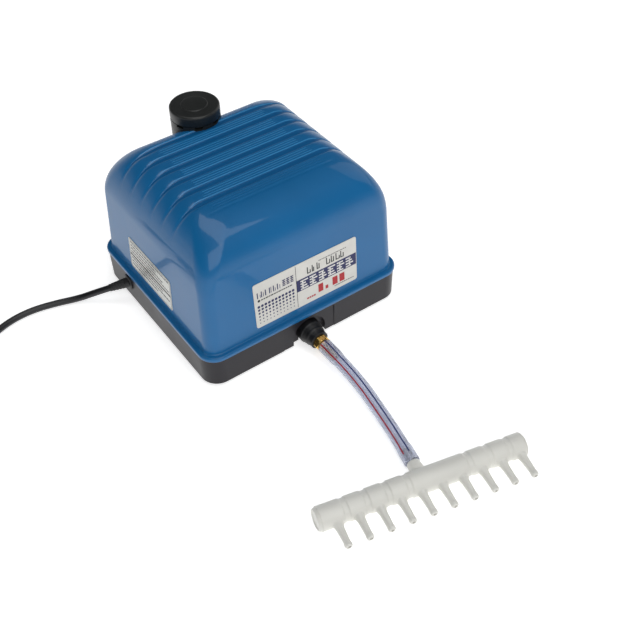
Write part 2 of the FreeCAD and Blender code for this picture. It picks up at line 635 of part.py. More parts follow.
def coil_leads():
    leads = []
    for y, coil_y in ((62.0, 12.0), (66.0, 18.0)):
        route = [Vector(-88, y, TERMINAL_TOP), Vector(-88, y, 62), Vector(-84, y - 4, 96),
                 Vector(-60, y - 8, 124), Vector(-28, coil_y + 12, 138), Vector(-8, coil_y, 138.5),
                 Vector(-8, coil_y, WINDING_TOP)]
        leads.append(swept(1.1, route)[0])
    return group(leads)


# ---------------------------------------------------------------- electromagnets
AIR_GAP = 10.0                 # from the shuttle's middle plane to each core's pole faces
CORE_DEPTH, YOKE = 38.0, 12.0
CORE_HALF_X, CORE_Z0, CORE_Z1 = 30.0, AXIS_Z - 20.0, AXIS_Z + 20.0
WINDING_Y0, WINDING_Y1 = AIR_GAP + 2.5, AIR_GAP + CORE_DEPTH - YOKE - 1.5
WINDING_TOP = AXIS_Z + 33.0
LEG_HALF = 7.0


def behind(shape):
    """A magnet part drawn on the +Y side of the shuttle, moved to the shuttle's line."""
    shape.translate(Vector(0, AXIS_Y, 0))
    return shape


def in_front(shape):
    return shape.mirror(Vector(0, AXIS_Y, 0), Y)


def laminated_core():
    outer_y = AIR_GAP + CORE_DEPTH
    core = box(-CORE_HALF_X, CORE_HALF_X, AIR_GAP, outer_y, CORE_Z0, CORE_Z1)
    for sx in (-1, 1):
        x0, x1 = sorted((sx * LEG_HALF, sx * 21.0))
        core = core.cut(box(x0, x1, AIR_GAP - 1, outer_y - YOKE, CORE_Z0 - 1, CORE_Z1 + 1))
    for sx in (-1, 1):
        spot = Vector(sx * 25.5, outer_y - YOKE / 2, 0)
        core = core.cut(rod(2.0, spot + Z * (CORE_Z0 - 1), spot + Z * (CORE_Z1 + 1)))
    return behind(core)


def coil_bobbin():
    y0, y1 = WINDING_Y0 - 1.0, WINDING_Y1 + 1.0
    sleeve = box(-LEG_HALF - 1.2, LEG_HALF + 1.2, y0, y1, CORE_Z0 - 1.2, CORE_Z1 + 1.2)
    flanges = [box(-20.6, 20.6, y, y + 1.0, AXIS_Z - 33.5, AXIS_Z + 33.5) for y in (y0, y1 - 1.0)]
    bobbin = union([sleeve] + flanges)
    return behind(bobbin.cut(box(-LEG_HALF, LEG_HALF, y0 - 1, y1 + 1, CORE_Z0, CORE_Z1)))


def coil_winding():
    half_x, half_z, r = 20.0, WINDING_TOP - AXIS_Z, 6.0
    wire = rounded_rectangle(-half_x, half_x, -half_z, half_z, r, 0)
    winding = Part.Face(wire).extrude(Z * (WINDING_Y1 - WINDING_Y0))
    winding.rotate(Vector(0, 0, 0), X, 90)
    winding.translate(Vector(0, WINDING_Y1, AXIS_Z))
    hole = box(-LEG_HALF - 1.2, LEG_HALF + 1.2, WINDING_Y0 - 1, WINDING_Y1 + 1, CORE_Z0 - 1.2, CORE_Z1 + 1.2)
    return behind(winding.cut(hole))


def core_bolts():
    def bolts():
        pieces = []
        for sx in (-1, 1):
            spot = Vector(sx * 25.5, AIR_GAP + CORE_DEPTH - YOKE / 2, 0)
            pieces.append(union([rod(2.0, spot + Z * LID_TOP, spot + Z * CORE_Z1),
                                 hexagon(7.0, spot + Z * CORE_Z1, spot + Z * (CORE_Z1 + 3.2))]))
        return behind(group(pieces))
    return group([bolts(), in_front(bolts())])


# ---------------------------------------------------------------- frame that carries cores and chambers
FRAME_SCREW_SPOTS = [(sx * 44.0, AXIS_Y + sy * 44.0) for sx in (-1, 1) for sy in (-1, 1)]
FRAME_PLATE_X0, FRAME_PLATE_X1 = 54.0, 57.0
FRAME_BASE_TOP = LID_TOP + 3.0


def mechanism_frame():
    base = box(-FRAME_PLATE_X1, FRAME_PLATE_X1, AXIS_Y - 50, AXIS_Y + 50, LID_TOP, FRAME_BASE_TOP)
    cheeks = []
    for sx in (-1, 1):
        x0, x1 = sorted((sx * FRAME_PLATE_X0, sx * FRAME_PLATE_X1))
        cheek = box(x0, x1, AXIS_Y - 38, AXIS_Y + 38, LID_TOP, AXIS_Z + 36)
        cheeks.append(cheek.cut(rod(25.0, Vector(x0 - 1, AXIS_Y, AXIS_Z), Vector(x1 + 1, AXIS_Y, AXIS_Z))))
    stands = []
    for sx in (-1, 1):
        for sy in (-1, 1):
            middle_y = AXIS_Y + sy * (AIR_GAP + CORE_DEPTH - YOKE / 2)
            stands.append(box(sx * 25.5 - 4.5, sx * 25.5 + 4.5, middle_y - 6, middle_y + 6, LID_TOP, CORE_Z0))
    frame = union([base] + cheeks + stands)
    for sx in (-1, 1):
        for sy in (-1, 1):
            spot = Vector(sx * 25.5, AXIS_Y + sy * (AIR_GAP + CORE_DEPTH - YOKE / 2), 0)
            frame = frame.cut(rod(2.0, spot + Z * (LID_TOP - 1), spot + Z * (CORE_Z0 + 1)))
    for x, y in FRAME_SCREW_SPOTS:
        frame = frame.cut(rod(1.5, Vector(x, y, LID_TOP - 1), Vector(x, y, FRAME_BASE_TOP + 1)))
    return frame.cut(group(chamber_bolt_shafts(FRAME_PLATE_X0 - 1, FRAME_PLATE_X1 + 1)))


def frame_screws():
    return group(pan_screw(x, y, FRAME_BASE_TOP, 6.0) for x, y in FRAME_SCREW_SPOTS)


# ---------------------------------------------------------------- chambers, drawn on the right side
RING_X0, RING_X1 = FRAME_PLATE_X1, 64.0
RUBBER_X0, RUBBER_X1 = RING_X1, 66.0
CHAMBER_X1 = 82.0
VALVE_X1 = 87.0
HEAD_X1 = 99.0
BOLT_CIRCLE_R = 30.5
CHAMBER_BORE_R = 27.0
FLAP_THICKNESS = 0.8
SUCTION_FLAP_Z = (8.0, 24.0)       # free end and hinge, above the axis
DELIVERY_FLAP_Z = (-24.0, -8.0)    # free end and hinge, below the axis


def on_axis(x, y=0.0, z=0.0):
    return Vector(x, AXIS_Y + y, AXIS_Z + z)


def bolt_offsets():
    return [(BOLT_CIRCLE_R * math.cos(math.radians(a)), BOLT_CIRCLE_R * math.sin(math.radians(a)))
            for a in (45, 135, 225, 315)]


def chamber_bolt_shafts(x0, x1, radius=2.0):
    shafts = [rod(radius, on_axis(x0, dy, dz), on_axis(x1, dy, dz)) for dy, dz in bolt_offsets()]
    return shafts + [mirrored(s) for s in shafts]


def without_bolts(shape, x0, x1):
    return shape.cut(group(chamber_bolt_shafts(x0 - 1, x1 + 1)))


def clamp_ring():
    ring = tube(CHAMBER_R, CHAMBER_BORE_R, on_axis(RING_X0), on_axis(RING_X1))
    return without_bolts(ring, RING_X0, RING_X1)


def diaphragm():
    """Rubber disc: flat rim, sloping wall and a raised centre that the shuttle carries."""
    rim = tube(CHAMBER_R, CHAMBER_BORE_R - 1.0, on_axis(RUBBER_X0), on_axis(RUBBER_X1))
    wall = cone(CHAMBER_BORE_R - 0.5, 18.0, on_axis(RUBBER_X0), on_axis(RUBBER_X0 + 4.0))
    wall = wall.cut(cone(CHAMBER_BORE_R - 3.5, 15.5, on_axis(RUBBER_X0), on_axis(RUBBER_X0 + 2.9)))
    centre = tube(18.5, SHUTTLE_R, on_axis(RUBBER_X0 + 2.5), on_axis(RUBBER_X0 + 4.5))
    wall = wall.cut(rod(17.0, on_axis(RUBBER_X0 - 1), on_axis(RUBBER_X0 + 2.5)))
    wall = wall.cut(rod(SHUTTLE_R, on_axis(RUBBER_X0), on_axis(RUBBER_X0 + 6)))
    return without_bolts(union([rim, wall, centre]), RUBBER_X0, RUBBER_X1)


def pump_chamber():
    body = rod(CHAMBER_R, on_axis(RUBBER_X1), on_axis(CHAMBER_X1))
    body = body.cut(rod(CHAMBER_BORE_R, on_axis(RUBBER_X1 - 1), on_axis(CHAMBER_X1 + 1)))
    return without_bolts(body, RUBBER_X1, CHAMBER_X1)


def valve_plate():
    plate = rod(CHAMBER_R, on_axis(CHAMBER_X1), on_axis(VALVE_X1))
    ports = []
    for zone in (SUCTION_FLAP_Z, DELIVERY_FLAP_Z):
        middle = (zone[0] + zone[1]) / 2
        for dy, dz in ((-3.4, -3.6), (-3.4, 3.6), (3.4, -3.6), (3.4, 3.6)):
            port = on_axis(CHAMBER_X1 - 1, dy, middle + dz)
            ports.append(rod(2.2, port, port + X * 7))
    return without_bolts(plate.cut(group(ports)), CHAMBER_X1, VALVE_X1)


def chamber_head():
    head = rod(CHAMBER_R, on_axis(VALVE_X1), on_axis(HEAD_X1))
    hollow = rod(CHAMBER_BORE_R, on_axis(VALVE_X1 - 1), on_axis(HEAD_X1 - 2.5))
    rib = box(VALVE_X1 - 2, HEAD_X1, AXIS_Y - CHAMBER_R, AXIS_Y + CHAMBER_R, AXIS_Z - 1.5, AXIS_Z + 1.5)
    head = head.cut(hollow.cut(rib))
    head = head.cut(rod(6.0, on_axis(HEAD_X1 - 4, 0, 15), on_axis(HEAD_X1 + 1, 0, 15)))       # air comes in
    spigot = rod(SPIGOT_R, Vector(SPIGOT_X, AXIS_Y, LID_BOTTOM), Vector(SPIGOT_X, AXIS_Y, AXIS_Z - 29))
    bore = rod(SPIGOT_BORE_R, Vector(SPIGOT_X, AXIS_Y, LID_BOTTOM - 2), Vector(SPIGOT_X, AXIS_Y, AXIS_Z - 20))
    head = union([head, spigot]).cut(bore)
    return without_bolts(head, VALVE_X1, HEAD_X1)


def flap(x0, x1, zone):
    return box(x0, x1, AXIS_Y - 7.5, AXIS_Y + 7.5, AXIS_Z + zone[0], AXIS_Z + zone[1])


def suction_flap():
    return flap(CHAMBER_X1 - FLAP_THICKNESS, CHAMBER_X1, SUCTION_FLAP_Z)


def delivery_flap():
    return flap(VALVE_X1, VALVE_X1 + FLAP_THICKNESS, DELIVERY_FLAP_Z)


def flap_clips():
    """Bars that hold each flap's root to its valve plate."""
    bars = [box(CHAMBER_X1 - 2.0, CHAMBER_X1, AXIS_Y - 6.5, AXIS_Y + 6.5,
                AXIS_Z + SUCTION_FLAP_Z[1] + 0.3, AXIS_Z + SUCTION_FLAP_Z[1] + 2.0),
            box(VALVE_X1, VALVE_X1 + 2.0, AXIS_Y - 8, AXIS_Y + 8,
                AXIS_Z + DELIVERY_FLAP_Z[1] + 0.3, AXIS_Z + DELIVERY_FLAP_Z[1] + 3.5)]
    return group(bars + [mirrored(b) for b in bars])


def chamber_bolts():
    bolts = []
    for dy, dz in bolt_offsets():
        shaft = rod(2.0, on_axis(FRAME_PLATE_X0, dy, dz), on_axis(HEAD_X1, dy, dz))
        head = hexagon(7.0, on_axis(HEAD_X1, dy, dz), on_axis(HEAD_X1 + 2.8, dy, dz))
        bolts.append(union([shaft, head]))
    return group(bolts + [mirrored(b) for b in bolts])


# ---------------------------------------------------------------- shuttle
SHUTTLE_R = 4.0
HOLDER_HALF_X, HOLDER_HALF_Y, HOLDER_HALF_Z = 33.0, 7.8, 23.0
MAGNET_X0, MAGNET_X1, MAGNET_HALF_Z = 5.0, 27.0, 19.0
PLATE_X0 = RUBBER_X0 + 4.5
NUT_X0 = PLATE_X0 + 1.5


def shuttle_rod():
    end = NUT_X0 + 5.5
    half = rod(SHUTTLE_R, on_axis(HOLDER_HALF_X), on_axis(end))
    collar = rod(6.5, on_axis(HOLDER_HALF_X), on_axis(HOLDER_HALF_X + 3))
    half = union([half, collar])
    return group([half, mirrored(half)])


def magnet_holder():
    frame = box(-HOLDER_HALF_X, HOLDER_HALF_X, AXIS_Y - HOLDER_HALF_Y, AXIS_Y + HOLDER_HALF_Y,
                AXIS_Z - HOLDER_HALF_Z, AXIS_Z + HOLDER_HALF_Z)
    for sx in (-1, 1):
        x0, x1 = sorted((sx * MAGNET_X0, sx * MAGNET_X1))
        frame = frame.cut(box(x0, x1, AXIS_Y - 10, AXIS_Y + 10, AXIS_Z - MAGNET_HALF_Z, AXIS_Z + MAGNET_HALF_Z))
    return frame


def shuttle_magnets():
    return group(box(*sorted((sx * MAGNET_X0, sx * MAGNET_X1)), AXIS_Y - 7.2, AXIS_Y + 7.2,
                     AXIS_Z - MAGNET_HALF_Z, AXIS_Z + MAGNET_HALF_Z) for sx in (-1, 1))


def diaphragm_plates():
    inner = tube(14.0, SHUTTLE_R, on_axis(RUBBER_X0 + 1.0), on_axis(RUBBER_X0 + 2.5))
    outer = tube(16.0, SHUTTLE_R, on_axis(PLATE_X0), on_axis(NUT_X0))
    return group([inner, outer, mirrored(inner), mirrored(outer)])


def shuttle_nuts():
    lock = hexagon(12.0, on_axis(NUT_X0), on_axis(NUT_X0 + 4.5)).cut(
        rod(SHUTTLE_R, on_axis(NUT_X0 - 1), on_axis(NUT_X0 + 6)))
    back = hexagon(12.0, on_axis(RUBBER_X0 - 3.5), on_axis(RUBBER_X0 + 1.0)).cut(
        rod(SHUTTLE_R, on_axis(RUBBER_X0 - 5), on_axis(RUBBER_X0 + 2)))
    return group([lock, back, mirrored(lock), mirrored(back)])


# ---------------------------------------------------------------- write every piece
SINGLE_PIECES = (
    base_tray, rubber_feet, cover_screws, cover_gasket, top_cover, front_label, side_label,
    intake_tower, filter_foam, filter_grid, filter_cap,
    air_tank, tank_gasket, tank_lid, tank_lid_screws, tank_grommets, rubber_mounts,
    outlet_elbow, brass_hose_tail, air_hose, manifold_body, manifold_end_caps,
    cord_gland, mains_cord, cord_coil, plug_lead, mains_plug, plug_pins,
    cord_clamp, inner_lead, terminal_block, coil_leads,
    core_bolts, mechanism_frame, frame_screws, chamber_bolts, flap_clips,
    shuttle_rod, magnet_holder, shuttle_magnets, diaphragm_plates, shuttle_nuts)
RIGHT_AND_LEFT = (clamp_ring, diaphragm, pump_chamber, valve_plate, chamber_head, suction_flap, delivery_flap)
FRONT_AND_BACK = (laminated_core, coil_bobbin, coil_winding)

for piece in SINGLE_PIECES:
    save(piece.__name__, piece())
for piece in RIGHT_AND_LEFT:
    right = piece()
    if piece is clamp_ring:
        save("clamp_rings", group([right, mirrored(right)]))
        continue
    save(piece.__name__ + "_right", right)
    save(piece.__name__ + "_left", mirrored(right))
for piece in FRONT_AND_BACK:
    back = piece()
    if piece is coil_bobbin:
        save("coil_bobbins", group([back, in_front(back)]))
        continue
    save(piece.__name__ + "_back", back)
    save(piece.__name__ + "_front", in_front(back))
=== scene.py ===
"""Looks for a linear air pump with its hose, manifold and mains lead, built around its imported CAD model.

Sizes are written in millimetres and turned into Blender's metres by the mesh helpers.
"""
import math
import random

import bmesh
import bpy
import numpy as np
from mathutils import Matrix, Vector


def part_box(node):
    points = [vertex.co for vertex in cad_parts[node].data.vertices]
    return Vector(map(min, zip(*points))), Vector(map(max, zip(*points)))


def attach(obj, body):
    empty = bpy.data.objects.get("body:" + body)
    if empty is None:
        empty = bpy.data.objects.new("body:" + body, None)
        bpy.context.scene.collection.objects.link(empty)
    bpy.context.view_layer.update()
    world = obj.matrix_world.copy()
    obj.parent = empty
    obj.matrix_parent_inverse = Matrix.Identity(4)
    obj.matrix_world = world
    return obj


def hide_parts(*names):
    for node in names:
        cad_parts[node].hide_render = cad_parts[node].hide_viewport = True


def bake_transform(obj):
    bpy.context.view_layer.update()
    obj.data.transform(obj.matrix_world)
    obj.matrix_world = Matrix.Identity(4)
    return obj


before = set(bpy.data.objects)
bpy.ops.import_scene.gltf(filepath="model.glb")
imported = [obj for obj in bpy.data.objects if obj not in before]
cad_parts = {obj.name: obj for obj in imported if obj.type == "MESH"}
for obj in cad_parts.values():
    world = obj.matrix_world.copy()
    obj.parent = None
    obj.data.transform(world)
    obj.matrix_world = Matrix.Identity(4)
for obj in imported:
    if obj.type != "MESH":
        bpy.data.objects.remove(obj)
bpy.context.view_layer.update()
MM = 0.001
BODY = "casing"
random.seed(7)


# ---- materials
def node(tree, kind, **inputs):
    """A new shader node with its inputs set, where an underscore in a name stands for a space."""
    made = tree.nodes.new(kind)
    for key, value in inputs.items():
        made.inputs[key.replace("_", " ")].default_value = value
    return made


def finish(name, code, roughness, metallic=0.0, coat=0.0, coat_roughness=0.05, spread=0.08, spread_scale=60.0,
           rough_spread=0.08, bump=0.15, bump_scale=900.0, bump_height=0.00004, stretch=(1, 1, 1),
           transmission=0.0, ior=1.5, sheen=0.0, specular=0.5, wear=None):
    """One procedural finish: a base colour broken up by noise, uneven roughness and a fine bump."""
    colour = srgb(code)
    material = bpy.data.materials.new(name)
    material.use_nodes = True
    tree = material.node_tree
    shader = tree.nodes["Principled BSDF"]
    for key, value in {"Metallic": metallic, "Coat Weight": coat, "Coat Roughness": coat_roughness,
                       "Transmission Weight": transmission, "IOR": ior, "Sheen Weight": sheen,
                       "Specular IOR Level": specular}.items():
        shader.inputs[key].default_value = value
    link = tree.links.new
    place = tree.nodes.new("ShaderNodeTexCoord")
    shape = node(tree, "ShaderNodeMapping", Scale=stretch)
    link(place.outputs["Object"], shape.inputs["Vector"])
    cloud = node(tree, "ShaderNodeTexNoise", Scale=spread_scale, Detail=4.0)
    link(shape.outputs["Vector"], cloud.inputs["Vector"])
    tint = tree.nodes.new("ShaderNodeValToRGB")
    dark = [max(0.0, c * (1 - spread)) for c in colour]
    light = [min(1.0, c * (1 + spread)) for c in colour]
    tint.color_ramp.elements[0].position = 0.3
    tint.color_ramp.elements[1].position = 0.7
    tint.color_ramp.elements[0].color = (*dark, 1)
    tint.color_ramp.elements[1].color = (*light, 1)
    link(cloud.outputs["Fac"], tint.inputs["Fac"])
    colour_out = tint.outputs["Color"]
    if wear is not None:
        specks = node(tree, "ShaderNodeTexNoise", Scale=420.0, Detail=6.0)
        link(shape.outputs["Vector"], specks.inputs["Vector"])
        level = node(tree, "ShaderNodeMapRange", From_Min=0.62, From_Max=0.72, To_Max=0.5)
        link(specks.outputs["Fac"], level.inputs["Value"])
        mix = tree.nodes.new("ShaderNodeMix")
        mix.data_type = "RGBA"
        mix.inputs["B"].default_value = (*srgb(wear), 1)
        link(level.outputs["Result"], mix.inputs["Factor"])
        link(colour_out, mix.inputs["A"])
        colour_out = mix.outputs["Result"]
    link(colour_out, shader.inputs["Base Color"])
    rough = node(tree, "ShaderNodeMapRange", To_Min=max(0.02, roughness - rough_spread),
                 To_Max=min(1.0, roughness + rough_spread))
    link(cloud.outputs["Fac"], rough.inputs["Value"])
    link(rough.outputs["Result"], shader.inputs["Roughness"])
    if bump > 0:
        grain = node(tree, "ShaderNodeTexNoise", Scale=bump_scale, Detail=3.0)
        link(shape.outputs["Vector"], grain.inputs["Vector"])
        relief = node(tree, "ShaderNodeBump", Strength=bump, Distance=bump_height)
        link(grain.outputs["Fac"], relief.inputs["Height"])
        link(relief.outputs["Normal"], shader.inputs["Normal"])
    return material


def srgb(code):
    """Linear colour of a six-digit hexadecimal one."""
    parts = [int(code[i:i + 2], 16) / 255 for i in (0, 2, 4)]
    return tuple(c / 12.92 if c <= 0.04045 else ((c + 0.055) / 1.055) ** 2.4 for c in parts)


ENAMEL = dict(roughness=0.42, coat=0.42, coat_roughness=0.05, spread=0.05, spread_scale=14.0, bump=0.10,
              bump_scale=220.0, bump_height=0.00004, specular=0.22)
PAINT = finish("blue_enamel", "0a6299", **ENAMEL)
# Darker blue that paints shade into the floors of the cover's grooves.
GROOVE_SHADE_PAINT = finish("blue_enamel_painted_groove_shade", "00558a", **ENAMEL)
# Lighter blue that paints highlights onto the groove lips and the fine lines of the ribs.
LIP_HIGHLIGHT_PAINT = finish("blue_enamel_painted_highlight", "2e7fb6", **ENAMEL)
BASE = finish("black_moulding", "232126", 0.38, spread=0.12, spread_scale=35.0, bump=0.35, bump_scale=1500.0,
              bump_height=0.00006, specular=0.28)
RUBBER = finish("black_rubber", "0c0c0e", 0.45, spread=0.2, bump=0.4, bump_scale=1200.0)
CAP = finish("black_cap", "1a1c1b", 0.40, spread=0.15, spread_scale=50.0, bump=0.3, bump_scale=1400.0,
             bump_height=0.00005)
SHEATH = finish("black_sheath", "17171a", 0.36, spread=0.15, bump=0.25, bump_scale=700.0)
LABEL = finish("label_film", "d3d1cb", 0.42, coat=0.35, coat_roughness=0.2, spread=0.04, spread_scale=90.0,
               bump=0.12, bump_scale=2000.0, bump_height=0.00002)
SILVER_LABEL = finish("silver_film", "d2d2cd", 0.32, metallic=0.4, spread=0.10, spread_scale=400.0, bump=0.3,
                      bump_scale=3000.0, bump_height=0.00002)
NAVY = finish("navy_ink", "161a52", 0.5, spread=0.1, bump=0.1, bump_scale=2500.0)
RED = finish("red_ink", "ab0f1c", 0.5, spread=0.08, bump=0.1, bump_scale=2500.0)
GREY = finish("grey_ink", "121316", 0.5, spread=0.1, bump=0.1, bump_scale=2500.0)
PALE = finish("pale_ink", "e2e1de", 0.45, spread=0.04, bump=0.1, bump_scale=2500.0)
BRASS = finish("brass", "e0b866", 0.22, metallic=1.0, spread=0.16, spread_scale=120.0, rough_spread=0.12,
               bump=0.25, bump_scale=1800.0, wear="7d5b27")
PLASTIC = finish("white_moulding", "e2e1da", 0.36, spread=0.03, spread_scale=30.0, coat=0.1,
                 coat_roughness=0.25, bump=0.2, bump_scale=500.0, bump_height=0.00005)
STEEL = finish("zinc_steel", "b5b6b8", 0.3, metallic=1.0, spread=0.15, bump=0.3, bump_scale=1500.0,
               wear="77787c")
CAST = finish("cast_aluminium", "a9abad", 0.52, metallic=0.9, spread=0.12, bump=0.6, bump_scale=700.0,
              bump_height=0.00012)
LAMINATION = finish("core_sheets", "55565a", 0.42, metallic=0.9, spread=0.35, stretch=(0.4, 0.4, 30),
                    bump=0.5, bump_scale=60.0, bump_height=0.0001)
WINDING = finish("copper_winding", "a2562a", 0.3, metallic=0.7, spread=0.3, stretch=(1, 40, 1), bump=0.7,
                 bump_scale=45.0, bump_height=0.0002)
NYLON = finish("natural_nylon", "dedace", 0.45, spread=0.05, bump=0.2, bump_scale=900.0)
BLACK_NYLON = finish("black_nylon", "28282b", 0.5, spread=0.12, bump=0.3)
MAGNET = finish("ferrite", "3a3a3d", 0.6, spread=0.25, bump=0.6, bump_scale=900.0)
FLAP = finish("flap_rubber", "8c3a22", 0.5, spread=0.12, bump=0.25)
FOAM = finish("filter_foam", "3b3c3f", 0.95, spread=0.5, spread_scale=900.0, bump=1.0, bump_scale=1100.0,
              bump_height=0.0008, sheen=0.2)
THREAD = finish("braid_thread", "f4f5ff", 0.5, spread=0.04, bump=0.3, bump_scale=4000.0)
RED_THREAD = finish("red_thread", "b01226", 0.45, spread=0.1, bump=0.3, bump_scale=4000.0)
NAVY_THREAD = finish("navy_thread", "16246a", 0.45, spread=0.1, bump=0.3, bump_scale=4000.0)
CLEAR = finish("clear_hose", "e6eaf8", 0.12, spread=0.02, rough_spread=0.04, bump=0.12, bump_scale=350.0,
               transmission=0.86, ior=1.38)

NODE_MATERIALS = {
    BASE: ["base_tray"],
    RUBBER: ["rubber_feet", "cover_gasket", "tank_gasket", "tank_grommets", "rubber_mounts"],
    CAP: ["intake_tower"],
    FOAM: ["filter_foam"],
    BLACK_NYLON: ["filter_grid", "cord_clamp", "chamber_head_right", "chamber_head_left"],
    LABEL: ["front_label"],
    SILVER_LABEL: ["side_label"],
    CAST: ["air_tank", "tank_lid", "mechanism_frame", "clamp_rings", "diaphragm_plates"],
    STEEL: ["cover_screws", "tank_lid_screws", "core_bolts", "frame_screws", "chamber_bolts", "flap_clips",
            "shuttle_rod", "shuttle_nuts"],
    SHEATH: ["inner_lead", "coil_leads"],
    NYLON: ["terminal_block", "magnet_holder", "coil_bobbins", "pump_chamber_right", "pump_chamber_left",
            "valve_plate_right", "valve_plate_left"],
    LAMINATION: ["laminated_core_front", "laminated_core_back"],
    WINDING: ["coil_winding_front", "coil_winding_back"],
    MAGNET: ["shuttle_magnets"],
    FLAP: ["suction_flap_right", "suction_flap_left", "delivery_flap_right", "delivery_flap_left"],
    BRASS: ["plug_pins"],
}


def paint_cad_nodes():
    """Gives every CAD mesh that stays in view its procedural finish."""
    for material, names in NODE_MATERIALS.items():
        for name in names:
            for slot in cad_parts[name].material_slots:
                slot.material = material


# ---- mesh helpers, in millimetres
def linked(name, data):
    """A new object in the scene."""
    thing = bpy.data.objects.new(name, data)
    bpy.context.scene.collection.objects.link(thing)
    return thing


def shade(mesh, sharp_angle):
    """Smooth shading, with edges over the angle kept sharp."""
    mesh.shade_smooth()
    mesh.set_sharp_from_angle(angle=math.radians(sharp_angle))


def new_object(name, points, faces, material, smooth=True, sharp_angle=35.0):
    """An object made from points in millimetres and faces, in one material, with its faces outwards."""
    mesh = bpy.data.meshes.new(name)
    mesh.from_pydata([tuple(c * MM for c in p) for p in points], [], faces)
    thing = linked(name, mesh)
    work = bmesh.new()
    work.from_mesh(mesh)
    bmesh.ops.recalc_face_normals(work, faces=work.faces)
    work.to_mesh(mesh)
    work.free()
    mesh.materials.append(material)
    if smooth:
        shade(mesh, sharp_angle)
    return thing


def place_piece(piece, nodes, body=BODY):
    """Puts a piece on its body, in place of CAD nodes if it stands for any."""
    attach(piece, body)
    if nodes:
        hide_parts(*nodes)
    return piece


def grid_faces(rows, columns, around=False, start=0):
    """Quads of a grid of points kept row by row; around joins the last column to the first."""
    last = columns if around else columns - 1
    return [(start + r * columns + c, start + r * columns + (c + 1) % columns,
             start + (r + 1) * columns + (c + 1) % columns, start + (r + 1) * columns + c)
            for r in range(rows - 1) for c in range(last)]


def closing_band(rows, segments):
    """Quads that join the last row of a grid back to its first, so that a tube gets its wall's end."""
    last = (rows - 1) * segments
    return [(last + i, last + (i + 1) % segments, (i + 1) % segments, i) for i in range(segments)]


def end_faces(rows, segments):
    """The two end polygons of a solid whose surface is a grid of rows."""
    last = (rows - 1) * segments
    return [tuple(range(segments)), tuple(range(last, last + segments))]


def circle(count):
    """Cosine and sine at even steps round a circle."""
    turns = [2 * math.pi * i / count for i in range(count)]
    return [(math.cos(turn), math.sin(turn)) for turn in turns]


POLE_R = 0.01                  # radius that stands for the axis itself at the ends of a solid's profile


def turned(profile, origin, axis, segments=96):
    """Points and faces of a closed profile of (radius, distance along the axis) turned about the axis."""
    way = Vector(axis).normalized()
    side = way.orthogonal().normalized()
    up = way.cross(side)
    points = [Vector(origin) + way * along + (side * c + up * s) * radius
              for radius, along in profile for c, s in circle(segments)]
    close = end_faces if profile[0][0] <= POLE_R else closing_band
    return points, grid_faces(len(profile), segments, around=True) + close(len(profile), segments)


def merge(parts):
    """Joins several (points, faces) lists into one."""
    points, faces = [], []
    for more_points, more_faces in parts:
        offset = len(points)
        points += list(more_points)
        faces += [tuple(offset + i for i in face) for face in more_faces]
    return points, faces


def frames_along(path):
    """A side and an up vector at each point of a path, carried along it without twist."""
    path = [Vector(p) for p in path]
    ways = [(b - a).normalized() for a, b in zip(path, path[1:])]
    ways = [ways[0]] + [(a + b).normalized() for a, b in zip(ways, ways[1:])] + [ways[-1]]
    side = ways[0].cross(Vector((0, 0, 1))).normalized()
    out = []
    for point, way in zip(path, ways):
        side = (side - way * side.dot(way)).normalized()
        out.append((point, way, side, side.cross(way)))
    return out


def pipe(path, outer, inner, segments=48):
    """A tube with a wall along a path; outer and inner give the radii from the share of the way along."""
    stations = frames_along(path)
    count = len(stations)
    rings = []
    for surface, order in ((outer, range(count)), (inner, range(count - 1, -1, -1))):
        for k in order:
            point, _, side, up = stations[k]
            radius = surface(k / (count - 1))
            rings.append([point + (side * c + up * s) * radius for c, s in circle(segments)])
    points = [p for ring in rings for p in ring]
    return points, grid_faces(len(rings), segments, around=True) + closing_band(len(rings), segments)


def smooth_route(route, per_point=14):
    """Points along the NURBS line of a route, in millimetres."""
    curve = nurbs_curve("route_sample", route, 0.0)
    curve.resolution_u = per_point
    sample = linked("route_sample", curve)
    bpy.context.view_layer.update()
    mesh = bpy.data.meshes.new_from_object(sample)
    points = [v.co / MM for v in mesh.vertices]
    bpy.data.objects.remove(sample)
    bpy.data.meshes.remove(mesh)
    return points


def nurbs_curve(name, route, radius):
    """A round NURBS line of a radius, in millimetres."""
    curve = bpy.data.curves.new(name, "CURVE")
    curve.dimensions = "3D"
    curve.bevel_depth = radius * MM
    curve.bevel_resolution = 6
    spline = curve.splines.new("NURBS")
    spline.points.add(len(route) - 1)
    for point, place in zip(spline.points, route):
        point.co = (*(Vector(place) * MM), 1)
    spline.order_u = 3
    spline.use_endpoint_u = True
    return curve


def smoothstep(low, high, value):
    """0 at low and 1 at high, with a smooth rise between them."""
    t = np.clip((value - low) / (high - low), 0, 1)
    return t * t * (3 - 2 * t)


def path_length(path):
    """The length of a line through points."""
    return sum((b - a).length for a, b in zip(path, path[1:]))


def distances(path):
    """How far along a path each of its points lies."""
    return np.concatenate([[0], np.cumsum([(b - a).length for a, b in zip(path, path[1:])])])


def evenly(path, count):
    """The same path with its points the same distance apart."""
    run = distances(path)
    wanted = np.linspace(0, run[-1], count)
    columns = [np.interp(wanted, run, [p[axis] for p in path]) for axis in range(3)]
    return [Vector(point) for point in zip(*columns)]


